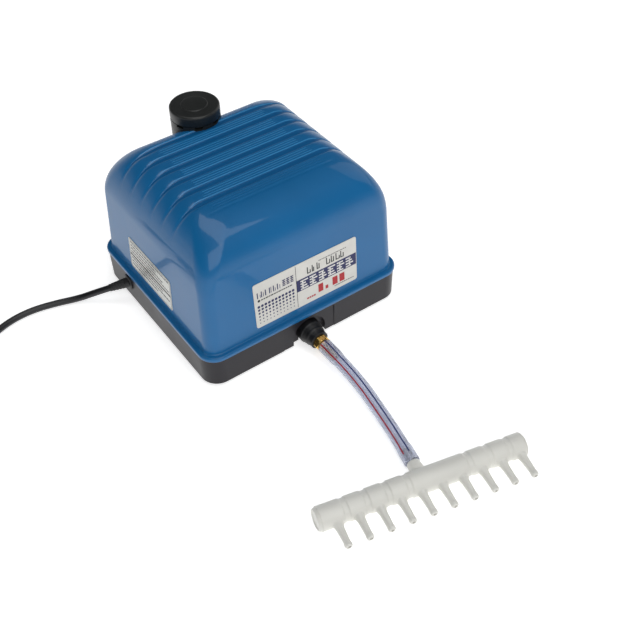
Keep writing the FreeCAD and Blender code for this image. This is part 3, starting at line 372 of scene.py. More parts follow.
# ---- the ribbed cover
FLANGE_TOP, FLANGE_BOTTOM, COVER_TOP = 40.0, 35.0, 165.8
WALL_FOOT = 41.2               # where the cover's wall meets the fillet of its flange
CORNER_R, CROWN_R = 13.2, 24.0
SIDE = dict(level=111.9, draft=0.045, shoulder=113.0, extent=42.0)
FRONT = dict(level=105.4, draft=0.055, shoulder=124.0, extent=52.0)
BACK = dict(level=105.4, draft=0.040, shoulder=112.0, extent=44.0)
COVER_WALL = 3.0
GROOVE_STEP = 20.0
GROOVES = [-39.0 + GROOVE_STEP * i for i in range(6)]
RIBS = [middle + GROOVE_STEP / 2 for middle in GROOVES] + [GROOVES[0] - GROOVE_STEP / 2]
GROOVE_HALF, GROOVE_EDGE, GROOVE_DEPTH = 3.5, 0.9, 1.6
FINE_LINES = [-3.2, 0.0, 3.2]  # from the middle of each rib
TOWER = Vector((0.0, 86.0, 0.0))
TOWER_HOLE_R = 24.2


def distance(face, z, inset=0.0):
    """From the pump's middle to a face of the cover at height z."""
    top = COVER_TOP - inset
    straight = face["level"] - face["draft"] * (np.minimum(z, face["shoulder"]) - FLANGE_TOP)
    rise = np.clip((z - face["shoulder"]) / (top - face["shoulder"]), 0, 1)
    return straight - inset - (face["extent"] - inset) * (1 - np.sqrt(1 - rise * rise))


def corner_radius(z, inset=0.0):
    """Radius of the cover's upright corners, which grows towards the crown."""
    rise = np.clip((z - SIDE["shoulder"]) / (COVER_TOP - SIDE["shoulder"]), 0, 1)
    return CORNER_R + (CROWN_R - CORNER_R) * rise - inset


def half_width(y, z, inset=0.0):
    """Half the cover's width at (y, z), rounded off near its front and back faces."""
    end = np.where(y < 0, distance(FRONT, z, inset), distance(BACK, z, inset))
    radius = corner_radius(z, inset)
    into = np.clip(np.abs(y) - (end - radius), 0, radius)
    return distance(SIDE, z, inset) - radius + np.sqrt(np.maximum(radius ** 2 - into ** 2, 0))


def crest(y, inset=0.0):
    """The cover's greatest height in the slice at y."""
    face = FRONT if y < 0 else BACK
    top = COVER_TOP - inset
    at_shoulder = float(distance(face, face["shoulder"], inset))
    if abs(y) >= at_shoulder:
        return face["shoulder"] - (abs(y) - at_shoulder) / face["draft"]
    share = 1 - (at_shoulder - abs(y)) / (face["extent"] - inset)
    return face["shoulder"] + (top - face["shoulder"]) * math.sqrt(max(0.0, 1 - max(0.0, share) ** 2))


def slice_positions():
    """Where the cover is sliced: close together at groove edges and fine lines, wide on plain faces."""
    marks = []
    for face, sign in ((FRONT, -1), (BACK, 1)):
        foot = float(distance(face, WALL_FOOT + 0.02))
        shoulder = float(distance(face, face["shoulder"]))
        marks += [sign * (foot + (shoulder - foot) * t) for t in np.linspace(0, 1, 26)]
        inner = 58.0 if sign < 0 else 78.0
        marks += [sign * (shoulder + (inner - shoulder) * (t ** 1.6)) for t in np.linspace(0, 1, 30)[1:]]
    for middle in GROOVES:
        for sign in (-1, 1):
            marks += [middle + sign * (GROOVE_HALF + GROOVE_EDGE * k)
                      for k in (-1, -0.65, -0.3, 0, 0.3, 0.65, 1)]
            marks += [middle + sign * 0.9]
    for rib in RIBS:
        for line in FINE_LINES:
            marks += [rib + line + k for k in (-0.85, -0.5, -0.22, 0, 0.22, 0.5, 0.85)]
    marks += [-57.0, -56.2, -55.6, -55.0, -54.4, 77.0]
    marks = sorted(set(round(m, 4) for m in marks))
    while (len(marks) - 1) % 4:
        widest = max(range(len(marks) - 1), key=lambda i: marks[i + 1] - marks[i])
        marks.insert(widest + 1, (marks[widest] + marks[widest + 1]) / 2)
    return marks


def slice_columns(y, inset, foot, wall_count, top_count):
    """(x, z) along one slice, from the left foot over the crown to the right foot."""
    top = max(crest(y, inset), foot + 0.005)
    t = np.linspace(0, 1, 500)
    z = foot + (top - foot) * np.sin(t * math.pi / 2)
    x = half_width(y, z, inset)
    step = np.hypot(np.diff(x), np.diff(z)) * np.where(z[1:] > 118, 2.2, 1.0)
    run = np.concatenate([[0], np.cumsum(step)])
    wanted = np.linspace(0, run[-1], wall_count)
    z_wall = np.interp(wanted, run, z)
    x_wall = np.interp(wanted, run, x)
    u = np.linspace(-1, 1, top_count)[1:-1]
    x_top = x_wall[-1] * (0.55 * u + 0.45 * u ** 3)
    return (np.concatenate([-x_wall, x_top, x_wall[::-1]]),
            np.concatenate([z_wall, np.full(len(x_top), z_wall[-1]), z_wall[::-1]]))


def groove_taper(x):
    """A groove's width where it runs down the shoulder, as a share of its width on the crown."""
    return 1 - 0.62 * smoothstep(68.0, 86.0, np.abs(x))


def rib_relief(x, offset, rib_offset, front_step):
    """How far the surface lies under the smooth form."""
    side = np.abs(x)
    depth = GROOVE_DEPTH * (1 - 0.4 * smoothstep(70, 84, side)) * (1 - smoothstep(86, 106, side))
    groove = smoothstep(GROOVE_HALF + GROOVE_EDGE, GROOVE_HALF - GROOVE_EDGE, np.abs(offset))
    rounding = np.clip(1 - (np.abs(offset) - GROOVE_HALF) / 6.5, 0, 1) ** 2 * (np.abs(offset) < 10)
    lift = (0.10 + 0.45 * smoothstep(60, 78, side)) * (1 - smoothstep(88, 108, side))
    fine = sum(np.exp(-((rib_offset - line) / 0.36) ** 2) for line in FINE_LINES)
    lines = 0.26 * fine * (1 - smoothstep(58, 66, side))
    step = 0.25 * front_step * (1 - smoothstep(62, 74, side))
    return depth * groove + lift * rounding * (1 - groove) + lines + step


def cover_grid(inset, foot, marks, wall_count, top_count, ribs):
    """Points of the cover's inner or outer surface, slice by slice, with its ribs if they are asked for."""
    rows = []
    for y in marks:
        x, z = slice_columns(y, inset, foot, wall_count, top_count)
        y_row = np.full(len(x), float(y))
        relief = np.zeros(len(x))
        if ribs and GROOVES[0] - 20 < y < GROOVES[-1] + 17:
            nearest = min(GROOVES, key=lambda g: abs(g - y))
            offset = y - nearest
            taper = groove_taper(x)
            edge, half = GROOVE_HALF + GROOVE_EDGE, GROOVE_STEP / 2
            if abs(offset) <= edge:
                y_row = nearest + offset * taper
            elif abs(offset) < half:
                beyond = (abs(offset) - edge) * (half - edge * taper) / (half - edge)
                y_row = nearest + math.copysign(1, offset) * (edge * taper + beyond)
            rib = min(RIBS, key=lambda middle: abs(middle - y))
            step = float(smoothstep(-55.0, -56.2, y)) * float(smoothstep(-60.0, -57.0, y))
            relief = rib_relief(x, offset, y - rib, step)
            on_wall = np.concatenate([np.arange(wall_count), np.arange(len(x) - wall_count, len(x))])
            width = half_width(y_row[on_wall], z[on_wall], inset)
            x[on_wall] = np.sign(x[on_wall]) * width
        rows.append(np.stack([x, y_row, z, relief], axis=1))
    grid = np.array(rows)
    along, across = np.gradient(grid[:, :, :3], axis=1), np.gradient(grid[:, :, :3], axis=0)
    normal = np.cross(along, across)
    normal /= np.maximum(np.linalg.norm(normal, axis=2, keepdims=True), 1e-9)
    normal *= np.where(normal[:, :, 2:3] < 0, -1, 1)
    return grid[:, :, :3] - normal * grid[:, :, 3:4]


def border(rows, columns):
    """Indices round a grid's edge: front row, right column, back row and left column."""
    front = list(range(columns - 1))
    right = [r * columns + columns - 1 for r in range(rows - 1)]
    back = [(rows - 1) * columns + c for c in range(columns - 1, 0, -1)]
    left = [r * columns for r in range(rows - 1, 0, -1)]
    return front + right + back + left


def plan_normal(x, y, z):
    """Outward direction in plan of the rounded outline at a point of the cover's foot."""
    radius = float(corner_radius(z))
    end = float(distance(FRONT if y < 0 else BACK, z)) - radius
    side = float(distance(SIDE, z)) - radius
    over_x, over_y = max(abs(x) - side, 0.0), max(abs(y) - end, 0.0)
    if over_x < 1e-6 and over_y < 1e-6:
        over_x, over_y = (1.0, 0.0) if abs(x) - side > abs(y) - end else (0.0, 1.0)
    length = math.hypot(over_x, over_y)
    return math.copysign(over_x, x) / length, math.copysign(over_y, y) / length


# Fillet, flat, rounded lip and underside of the flange: distance out of the wall, and height.
FLANGE_PROFILE = [(0.25, 40.62), (0.62, 40.25), (1.15, 40.05), (1.8, 40.0), (3.6, 40.0), (4.15, 39.92),
                  (4.65, 39.70), (5.08, 39.36), (5.40, 38.92), (5.56, 38.45), (5.6, 38.0), (5.6, 35.9),
                  (5.42, 35.3), (5.0, 35.0), (2.0, 35.0)]


WALL_COLUMNS, CROWN_COLUMNS = 63, 61
# Cover material slots for the painted shade in the grooves and the painted highlights on lips and fine lines.
GROOVE_SHADE_SLOT, HIGHLIGHT_SLOT = 1, 2


def build_cover():
    """Ribbed outer surface, flange profile carried round its foot, and a plain inner surface."""
    marks = slice_positions()
    outer = cover_grid(0.0, WALL_FOOT, marks, WALL_COLUMNS, CROWN_COLUMNS, ribs=True)
    rows, columns = outer.shape[:2]
    points = [tuple(p) for p in outer.reshape(-1, 3)]
    faces = grid_faces(rows, columns)
    loop = border(rows, columns)
    normals = [plan_normal(*points[i]) for i in loop]
    start = len(points)
    for out, height in FLANGE_PROFILE:
        for i, (nx, ny) in zip(loop, normals):
            points.append((points[i][0] + nx * out, points[i][1] + ny * out, height))
    count = len(loop)
    ring = loop
    for k in range(len(FLANGE_PROFILE)):
        lower = list(range(start + k * count, start + (k + 1) * count))
        faces += [(ring[i], ring[(i + 1) % count], lower[(i + 1) % count], lower[i]) for i in range(count)]
        ring = lower
    inner_marks = [m * (1 - COVER_WALL / 105.0) for m in marks[::4]]
    inner = cover_grid(COVER_WALL, FLANGE_BOTTOM, inner_marks, WALL_COLUMNS, CROWN_COLUMNS, ribs=False)
    inner = inner[:, ::4]
    inner_rows, inner_columns = inner.shape[:2]
    offset = len(points)
    points += [tuple(p) for p in inner.reshape(-1, 3)]
    faces += grid_faces(inner_rows, inner_columns, start=offset)
    inner_loop = [offset + i for i in border(inner_rows, inner_columns)]
    for k, here in enumerate(inner_loop):
        following = inner_loop[(k + 1) % len(inner_loop)]
        fan = [ring[(4 * k + j) % count] for j in range(5)]
        faces += [(fan[j], fan[j + 1], here) for j in range(4)]
        faces.append((here, fan[4], following))
    cover = new_object("cover_shell", points, faces, PAINT)
    # Extra slots: painted shade for the groove floors and painted highlight for the lips and fine lines.
    cover.data.materials.append(GROOVE_SHADE_PAINT)
    cover.data.materials.append(LIP_HIGHLIGHT_PAINT)
    paint_groove_shade_and_highlights(cover)
    place_piece(drill_tower_hole(cover), ["top_cover"])


def paint_groove_shade_and_highlights(cover):
    """Paints shade into the groove floors as a darker blue, and highlights onto the lips and fine lines
    beside them as a lighter blue.
    """
    for polygon in cover.data.polygons:
        x, y, z = (c / MM for c in polygon.center)
        if abs(x) >= 88.0 or z <= 120.0 or polygon.normal.z <= 0:
            continue
        offset = min(abs(y - middle) for middle in GROOVES)
        taper = float(groove_taper(x))
        from_line = min(abs(y - middle - GROOVE_STEP / 2 - line) for middle in GROOVES for line in FINE_LINES)
        # Groove floors take the darker blue: painted shade.
        if offset < (GROOVE_HALF - 0.1) * taper:
            polygon.material_index = GROOVE_SHADE_SLOT
        # Groove lips take the lighter blue: painted highlight.
        elif offset < (GROOVE_HALF + 0.75) * taper and abs(x) < 78.0:
            polygon.material_index = HIGHLIGHT_SLOT
        # Fine lines on the ribs take the lighter blue as well: painted highlight.
        elif from_line < 0.4 and abs(x) < 60.0 and y < GROOVES[-1]:
            polygon.material_index = HIGHLIGHT_SLOT


def drill_tower_hole(cover):
    """Cuts the hole for the tower, from above the cover down to its back wall."""
    low, high = 118.6, 175.0
    profile = [(POLE_R, low), (TOWER_HOLE_R, low), (TOWER_HOLE_R, high), (POLE_R, high)]
    cut(cover, [new_object("tower_cutter", *turned(profile, TOWER, (0, 0, 1)), PAINT)])
    shade(cover.data, 50)
    return cover


def cut(target, cutters):
    """Takes each cutter away from the target, and then removes the cutters."""
    for cutter in cutters:
        step = target.modifiers.new("step", "BOOLEAN")
        step.operation, step.solver, step.object = "DIFFERENCE", "EXACT", cutter
    apply_modifiers(target)
    for cutter in cutters:
        bpy.data.objects.remove(cutter)


def apply_modifiers(thing):
    """Bakes an object's modifiers into its mesh and keeps its materials."""
    bpy.context.view_layer.update()
    evaluated = thing.evaluated_get(bpy.context.evaluated_depsgraph_get())
    material = thing.data.materials[0]
    mesh = bpy.data.meshes.new_from_object(evaluated)
    thing.modifiers.clear()
    thing.data = mesh
    if not mesh.materials:
        mesh.materials.append(material)


# ---- labels and their generic print
INK, INK_SINK = 0.09, 0.02     # how far the printed shapes stand out of the label, and reach into it


class Plate:
    """The outer face of a label that leans on the cover's wall, with u to the right and v upwards."""

    def __init__(self, name, draft):
        """The label's CAD box gives its place; draft is the slope of the wall behind it."""
        low, high = (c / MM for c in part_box(name))
        lean = math.atan(draft)
        self.up_share, self.back_share = math.cos(lean), math.sin(lean)
        self.front = name.startswith("front")
        self.low, self.high = low, high
        self.width = high.x - low.x if self.front else high.y - low.y
        self.height = (high.z - low.z) / self.up_share

    def point(self, u, v, out):
        """A place on the label, a distance out of its face."""
        back = v * self.back_share - out * self.up_share
        z = self.low.z + v * self.up_share + out * self.back_share
        if self.front:
            return (self.low.x + u, self.low.y + back, z)
        return (self.low.x + back, self.high.y - u, z)

    def raised(self, outline, out=INK):
        """A flat shape with an outline of (u, v), sunk a little into the label."""
        points = [self.point(u, v, height) for height in (-INK_SINK, out) for u, v in outline]
        count = len(outline)
        return points, end_faces(2, count) + [(i, (i + 1) % count, count + (i + 1) % count, count + i)
                                              for i in range(count)]

    def block(self, u0, v0, u1, v1, out=INK):
        """An upright rectangle."""
        return self.raised([(u0, v0), (u1, v0), (u1, v1), (u0, v1)], out)

    def dot(self, u, v, radius, sides=14):
        """A round spot."""
        return self.raised([(u + radius * c, v + radius * s) for c, s in circle(sides)])

    def bars(self, u0, u1, v0, v1, shortest, longest, gap):
        """A line of small bars of uneven length, which stands for a line of print."""
        made, u = [], u0
        while u < u1 - shortest:
            width = random.uniform(shortest, longest)
            made.append(self.block(u, v0, min(u + width, u1), v1))
            u += width + gap
        return made


def printed(name, parts, material):
    """One colour of a label's print."""
    place_piece(new_object(name, *merge(parts), material, smooth=False), [])


def build_front_print():
    """A frame and a title, a field of dots, a band with pale blocks and a row of red ones."""
    plate = Plate("front_label", FRONT["draft"])
    wide, tall = plate.width, plate.height
    split, rim = 0.40 * wide, 1.3
    printed("front_print_frame", [
        plate.block(split - 0.25, rim, split + 0.25, tall - rim),
        *plate.bars(7.5, split - 5, tall * 0.600, tall * 0.622, 1.6, 4.0, 0.5),
        plate.dot(5.2, tall * 0.611, 1.5),
        *plate.bars(split + 27, wide - 11, tall * 0.855, tall * 0.868, 1.2, 3.4, 0.5),
        *plate.bars(wide - 28, wide - 4, tall * 0.085, tall * 0.100, 1.0, 3.0, 0.5)], GREY)
    letters = []
    for i, width in enumerate((3.2, 1.6, 2.4, 0, 3.6, 2.6, 3.9, 3.0)):
        u = split + 13.0 + 5.7 * i
        if width:
            letters.append(plate.block(u, tall * 0.685, u + 1.15, tall * 0.835))
            letters.append(plate.block(u + 1.15, tall * 0.685, u + width, tall * 0.705))
            top = tall * (0.76 + 0.02 * (i % 3))
            letters.append(plate.block(u + width, tall * 0.685, u + width + 1.1, top))
    printed("front_print_title", letters, GREY)
    grid = [plate.dot(4.4 + 3.95 * column, tall * 0.475 - 4.1 * row, 1.55 - 0.19 * row)
            for row in range(6) for column in range(11)]
    marks = []
    for i, width in enumerate((4.3, 3.4, 1.6, 3.0, 3.2, 3.9)):
        u = 3.6 + 4.55 * i
        marks.append(plate.block(u, tall * 0.67, u + 1.1, tall * 0.80))
        top = tall * (0.74 + 0.02 * (i % 4))
        marks.append(plate.block(u + width - 1.0, tall * 0.67, u + width - 0.4, top))
    for i in range(3):
        u = 32.5 + 4.6 * i
        marks += [plate.block(u, tall * v, u + 3.6, tall * (v + 0.02)) for v in (0.68, 0.72, 0.76, 0.80)]
        marks.append(plate.block(u + 1.4, tall * 0.68, u + 2.1, tall * 0.82))
    band = [plate.block(split + 0.25, tall * 0.37, wide - 0.6, tall * 0.635, 0.05)]
    printed("front_print_navy", grid + marks + band, NAVY)
    blocks = []
    low, over_band = tall * 0.39, INK + 0.06
    for i in range(6):
        u = split + 4.6 + 10.9 * i
        for k in range(4):
            reach = 9.0 - 1.4 * ((i + k) % 3)
            blocks.append(plate.block(u, low + 3.3 * k, u + reach, low + 3.3 * k + 1.5, over_band))
        stem = u + 1.8 + 1.0 * (i % 3)
        blocks.append(plate.block(stem, low, stem + 1.6, low + 11.6, over_band))
    printed("front_print_pale", blocks, PALE)
    red = [plate.block(split + 25 + 8.6 * i, tall * 0.13, split + 25 + 8.6 * i + width, tall * top)
           for i, (width, top) in enumerate(((5.8, 0.315), (3.2, 0.21), (6.2, 0.315), (6.2, 0.315)))]
    red += plate.bars(split + 11, split + 23, tall * 0.10, tall * 0.135, 1.4, 3.0, 0.5)
    printed("front_print_red", red, RED)


def build_side_print():
    """A thin frame, one heavy rule and lines of small bars."""
    plate = Plate("side_label", SIDE["draft"])
    wide, tall = plate.width, plate.height
    parts = [plate.block(1.6, tall * 0.45, wide - 1.6, tall * 0.50)]
    edge, inside = 1.2, 1.5
    parts += [plate.block(edge, edge, wide - edge, inside),
              plate.block(edge, tall - inside, wide - edge, tall - edge),
              plate.block(edge, inside, inside, tall - inside),
              plate.block(wide - inside, inside, wide - edge, tall - inside)]
    for row in range(8):
        v = tall * (0.90 - 0.105 * row)
        if abs(v / tall - 0.47) > 0.04:
            end = wide - 4 - 12 * ((row * 5) % 3)
            parts += plate.bars(4.0, end, v - 0.7, v + 0.7, 1.2, 5.0, 0.9)
    printed("side_print", parts, GREY)


# ---- cap, outlet and manifold
def build_cap():
    """The filter cap: a ring round a dished top, a straight rim and a spigot that enters the tower."""
    low, high = (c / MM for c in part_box("filter_cap"))
    top = high.z - 0.7
    profile = [(POLE_R, top + 0.7), (12.6, top + 0.7), (13.2, top + 0.62), (13.6, top + 0.35),
               (13.8, top + 0.02), (14.2, top - 0.05), (23.2, top), (24.0, top - 0.08), (24.8, top - 0.42),
               (25.35, top - 0.95), (25.65, top - 1.6), (25.7, top - 3.0), (25.7, 168.9), (25.45, 168.45),
               (25.0, 168.3), (22.7, 168.3), (22.3, 168.0), (22.3, low.z + 0.6), (21.9, low.z),
               (20.9, low.z), (20.3, low.z + 0.5), (20.3, top - 3.0), (POLE_R, top - 3.0)]
    cap = new_object("cap", *turned(profile, TOWER, (0, 0, 1), 128), CAP)
    place_piece(cap, ["filter_cap"], body="cap")


OUTLET_Z = 14.5
BOOT_ROUTE = [(0, -66, 30), (0, -66, 22), (0, -68.6, 16.4), (0, -76, 14.5), (0, -90, 14.5), (0, -108, 14.5),
              (0, -128, 14.5)]


def build_boot():
    """The rubber elbow: it flares towards the base and has two rings and a rounded lip."""
    path = evenly(smooth_route(BOOT_ROUTE, 18), 220)

    def outer(share):
        y = path[round(share * (len(path) - 1))].y
        if y > -105.4:
            return 10.45
        ring = sum(math.exp(-((y - middle) / 1.25) ** 4) for middle in (-112.5, -120.0))
        lip = 1.0 * float(smoothstep(-127.0, -128.0, y)) ** 2
        return 10.0 + 3.0 * float(smoothstep(-126.0, -109.0, y)) + 0.35 * ring - lip

    boot = new_object("outlet_boot", *pipe(path, outer, lambda share: 6.5, 64), RUBBER)
    place_piece(boot, ["outlet_elbow"])


def hexagon_radius(turn, flats):
    """Radius of a hexagon at an angle, rounded at its corners."""
    third = math.pi / 3
    within = (turn % third) - third / 2
    return min(flats / 2 / math.cos(within), flats / math.sqrt(3) - 0.25)


def build_hose_tail():
    """Brass tail along -Y: a round shank, a hexagon with chamfers and four barbs, bored through."""
    segments = 144
    flats, front, back = 15.0, -135.0, -128.0
    round_part = [(-112.0, 6.5), (-127.98, 6.5), (-128.0, 6.9)]
    hexagon = [(back, 6.9), (back - 0.35, 7.55), (back - 0.9, 9.0), (front + 0.9, 9.0), (front + 0.35, 7.55),
               (front, 6.7)]
    barbs = [(front, 4.3)]
    for i in range(4):
        y = front - 4.0 - 4.2 * i
        barbs += [(y, 4.2), (y - 0.3, 4.8), (y - 3.0, 4.2)]
    barbs += [(-155.6, 4.2), (-156.0, 3.9), (-156.0, 3.1), (-112.0, 3.1)]
    stations = round_part + hexagon + barbs
    points = []
    for k, (y, radius) in enumerate(stations):
        six_sided = len(round_part) <= k < len(round_part) + len(hexagon)
        for i in range(segments):
            turn = 2 * math.pi * i / segments
            r = min(radius, hexagon_radius(turn, flats)) if six_sided else radius
            points.append((r * math.cos(turn), y, OUTLET_Z + r * math.sin(turn)))
    faces = grid_faces(len(stations), segments, around=True) + closing_band(len(stations), segments)
    tail = new_object("brass_tail", points, faces, BRASS, sharp_angle=25)
    place_piece(tail, ["brass_hose_tail"])


MANIFOLD_LEFT = Vector((-124.6, -294.4, 11.7))
MANIFOLD_YAW = math.radians(-12.83)
MANIFOLD_R = 11.7
INLET = 103.5                  # along the manifold, where the hose comes in
FIRST_BARB, BARB_STEP = 16.5, 20.1
BARBS = [FIRST_BARB + BARB_STEP * i for i in range(10)]
WAISTS = [FIRST_BARB + BARB_STEP * (gap + 0.5) for gap in (0, 1, 2, 3, 6, 7, 8)]


MANIFOLD_WAY, INLET_WAY, BARB_WAY = (1, 0, 0), (0, 1, 0), (0, -1, 0)


def manifold_frame():
    """The manifold's place on the floor, from its own frame with X along it."""
    return Matrix.Translation(MANIFOLD_LEFT) @ Matrix.Rotation(MANIFOLD_YAW, 4, "Z")


def manifold_radius(along):
    """The body's radius, a little smaller in the waists between its barbs."""
    waist = sum(math.exp(-((along - middle) / 2.7) ** 12) for middle in WAISTS)
    return MANIFOLD_R - 0.02 - 0.95 * min(waist, 1.0)


def build_manifold():
    """Drawn along +X with its barbs towards -Y, fused, smoothed and laid at its place."""
    stations = [3.0 + 0.5 * i for i in range(401)]
    profile = [(POLE_R, 3.0)] + [(manifold_radius(s), s) for s in stations] + [(POLE_R, 203.0)]
    inlet = [(POLE_R, 6.0), (7.6, 6.0), (7.2, 12.5), (6.6, 19.6), (6.2, 20.4), (4.9, 20.7), (4.7, 33.0),
             (4.4, 35.6), (3.9, 36.0), (POLE_R, 36.0)]
    barb = [(POLE_R, 6.0), (5.4, 6.0), (5.3, 9.5), (4.7, 12.4), (4.1, 15.0), (3.8, 17.4), (3.35, 27.0),
            (3.3, 31.0), (3.6, 31.6), (3.6, 33.8), (3.2, 35.0), (2.6, 35.5), (POLE_R, 35.5)]
    parts = [turned(profile, (0, 0, 0), MANIFOLD_WAY, 96), turned(inlet, (INLET, 0, 0), INLET_WAY, 64)]
    parts += [turned(barb, (along, 0, 0), BARB_WAY, 48) for along in BARBS]
    manifold = new_object("manifold", *merge(parts), PLASTIC)
    remesh = manifold.modifiers.new("skin", "REMESH")
    remesh.mode, remesh.voxel_size = "VOXEL", 0.0005
    soften = manifold.modifiers.new("soften", "SMOOTH")
    soften.factor, soften.iterations = 0.5, 2
    manifold.modifiers.new("thin", "DECIMATE").ratio = 0.35
    apply_modifiers(manifold)
    main_bore = [(POLE_R, 2.0), (8.7, 2.0), (8.7, 204.0), (POLE_R, 204.0)]
    inlet_bore = [(POLE_R, 5.0), (3.4, 5.0), (3.4, 37.0), (POLE_R, 37.0)]
    barb_bore = [(POLE_R, 5.0), (1.5, 5.0), (1.5, 34.9), (1.75, 36.0), (POLE_R, 36.0)]
    bores = [turned(main_bore, (0, 0, 0), MANIFOLD_WAY, 64), turned(inlet_bore, (INLET, 0, 0), INLET_WAY, 32)]
    bores += [turned(barb_bore, (along, 0, 0), BARB_WAY, 32) for along in BARBS]
    cut(manifold, [new_object("bore", *shape, PLASTIC) for shape in bores])
    manifold.data.transform(scaled(manifold_frame()))
    shade(manifold.data, 42)
    place_piece(manifold, ["manifold_body"])


def scaled(matrix):
    """The same placing, with its millimetres turned into metres."""
    moved = matrix.copy()
    moved.translation = matrix.translation * MM
    return moved


def build_manifold_caps():
    """A dished cap at the left end and a domed one at the right, each with a plug in the body's bore."""
    left = [(POLE_R, 0.8), (8.0, 0.8), (8.4, 0.2), (8.9, 0.0), (9.7, 0.0), (10.2, 0.4), (11.0, 2.3),
            (11.1, 2.8), (10.9, 3.0), (8.7, 3.0), (8.65, 9.0), (POLE_R, 9.0)]
    right = [(POLE_R, 206.0), (5.6, 205.9), (8.4, 205.5), (10.2, 204.7), (11.1, 203.9), (11.6, 203.3),
             (11.7, 203.0), (8.7, 203.0), (8.65, 197.0), (POLE_R, 197.0)]
    ends = [turned(profile, (0, 0, 0), MANIFOLD_WAY, 96) for profile in (left, right)]
    caps = new_object("manifold_plugs", *merge(ends), PLASTIC)
    caps.data.transform(scaled(manifold_frame()))
    place_piece(caps, ["manifold_end_caps"])


# ---- braided hose
def manifold_point(along, across):
    """A place in the pump's frame, from one in the manifold's."""
    return tuple(manifold_frame() @ Vector((along, across, 0)))


HOSE_ROUTE = [(0, -136, 14.5), (0, -168, 14.5), (-1.2, -200, 12.6), (-5.8, -232, 11.2),
              manifold_point(INLET, 54.0), manifold_point(INLET, 21.0)]
HOSE_R, HOSE_BORE_R = 7.0, 4.9
STRANDS, STRAND_PITCH = 18, 38.0


def build_hose():
    """A clear wall that swells over the barbs at both ends, with its threads."""
    path = evenly(smooth_route(HOSE_ROUTE, 26), 160)
    length = path_length(path)

    def swelling(share):
        along = share * length
        start = 0.75 * (1 - float(smoothstep(18.0, 27.0, along)))
        end = 0.65 * float(smoothstep(length - 22.0, length - 14.0, along))
        return start + end

    def outer(share):
        ends = (share * length, (1 - share) * length)
        return HOSE_R + swelling(share) - 0.5 * sum(max(0.0, 1 - end / 0.9) ** 2 for end in ends)

    wall = new_object("hose_wall", *pipe(path, outer, lambda share: HOSE_BORE_R + swelling(share), 56), CLEAR)
    threads = build_threads(path, length, swelling)
    place_piece(wall, ["air_hose"])


def thread_tube(path, turn_at, radius_at, thickness, width, first, last):
    """A flat thread in the hose's wall; turn_at and radius_at give its place from the distance along."""
    stations = frames_along(path)
    along = distances(path)
    steps = np.linspace(first, last, int((last - first) / 1.2) + 2)
    points = []
    for distance_along in steps:
        k = min(int(np.searchsorted(along, distance_along)), len(stations) - 1)
        previous = max(k - 1, 0)
        gap = max(along[k] - along[previous], 1e-6)
        share = float(np.clip((distance_along - along[previous]) / gap, 0, 1))
        centre = stations[previous][0].lerp(stations[k][0], share)
        side = stations[previous][2].lerp(stations[k][2], share).normalized()
        up = stations[previous][3].lerp(stations[k][3], share).normalized()
        radius, turn = radius_at(distance_along), turn_at(distance_along)
        half = width / 2 / radius
        for angle, r in ((turn - half, radius), (turn + half, radius), (turn + half, radius + thickness),
                         (turn - half, radius + thickness)):
            points.append(centre + (side * math.cos(angle) + up * math.sin(angle)) * r)
    faces = grid_faces(len(steps), 4, around=True)
    faces += [(0, 1, 2, 3), tuple(len(points) - 4 + i for i in range(4))]
    return points, faces


def build_threads(path, length, swelling):
    """Threads that cross each other in the hose's wall, and two coloured ones that run straight."""
    middle = 6.55
    spans = (1.0, length - 1.5)
    parts = []
    for direction in (1, -1):
        for i in range(STRANDS):
            begin = 2 * math.pi * i / STRANDS
            parts.append(thread_tube(
                path, lambda s, d=direction, b=begin: b + d * 2 * math.pi * s / STRAND_PITCH,
                lambda s, d=direction: middle + 0.12 * d + swelling(s / length), 0.12, 0.5, *spans))
    braid = new_object("hose_braid", *merge(parts), THREAD, smooth=False)
    made = [place_piece(braid, [])]
    for name, material, turn in (("hose_red_tracer", RED_THREAD, math.radians(47)),
                                 ("hose_navy_tracer", NAVY_THREAD, math.radians(91))):
        stripe = thread_tube(path, lambda s, t=turn: t, lambda s: HOSE_R - 0.16 + swelling(s / length),
                             0.24, 1.2, 1.0, length - 8.0)
        made.append(place_piece(new_object(name, *stripe, material, smooth=False), []))
    return made


# ---- mains lead, coil and plug
UP = Vector((0, 0, 1))
CORD_R = 3.5
GLAND_WAY = Vector((-0.84, 0.46, -0.29)).normalized()
GLAND_OUT = Vector((-117.4, 54.0, 23.0))
CORD_EXIT = GLAND_OUT + GLAND_WAY * 21.0
LAID_ROUTE = [CORD_EXIT, CORD_EXIT + GLAND_WAY * 17.0, (-164.0, 80.5, 5.4), (-187.0, 90.0, 3.7),
              (-212.0, 95.5, 3.6), (-237.0, 94.0, 3.6), (-259.0, 86.0, 3.6), (-281.0, 76.5, 3.6),
              (-303.0, 73.2, 3.6)]
COIL_CENTRE = Vector((-314.0, 118.0, 0.0))
COIL_LAYERS = [3.6 + 7.15 * layer for layer in range(3)]
COIL_PLAN = [(44.7, COIL_LAYERS[0]), (37.6, COIL_LAYERS[0]), (30.6, COIL_LAYERS[0]), (34.0, COIL_LAYERS[1]),
             (41.2, COIL_LAYERS[1])]           # radius and height of each turn
COIL_TOP = (44.8, COIL_LAYERS[2] - 0.2)
COIL_START, COIL_END = math.radians(-99.0), math.radians(110.0 - 6 * 360.0)
POINTS_PER_TURN = 16
PLUG_YAW = math.radians(20.0)
PLUG_WAY = Vector((math.cos(PLUG_YAW), math.sin(PLUG_YAW), 0))
COIL_EXIT = COIL_CENTRE + UP.cross(PLUG_WAY) * 45.0
PLUG_ENTRY = COIL_EXIT + PLUG_WAY * 28.0 + UP * 14.0


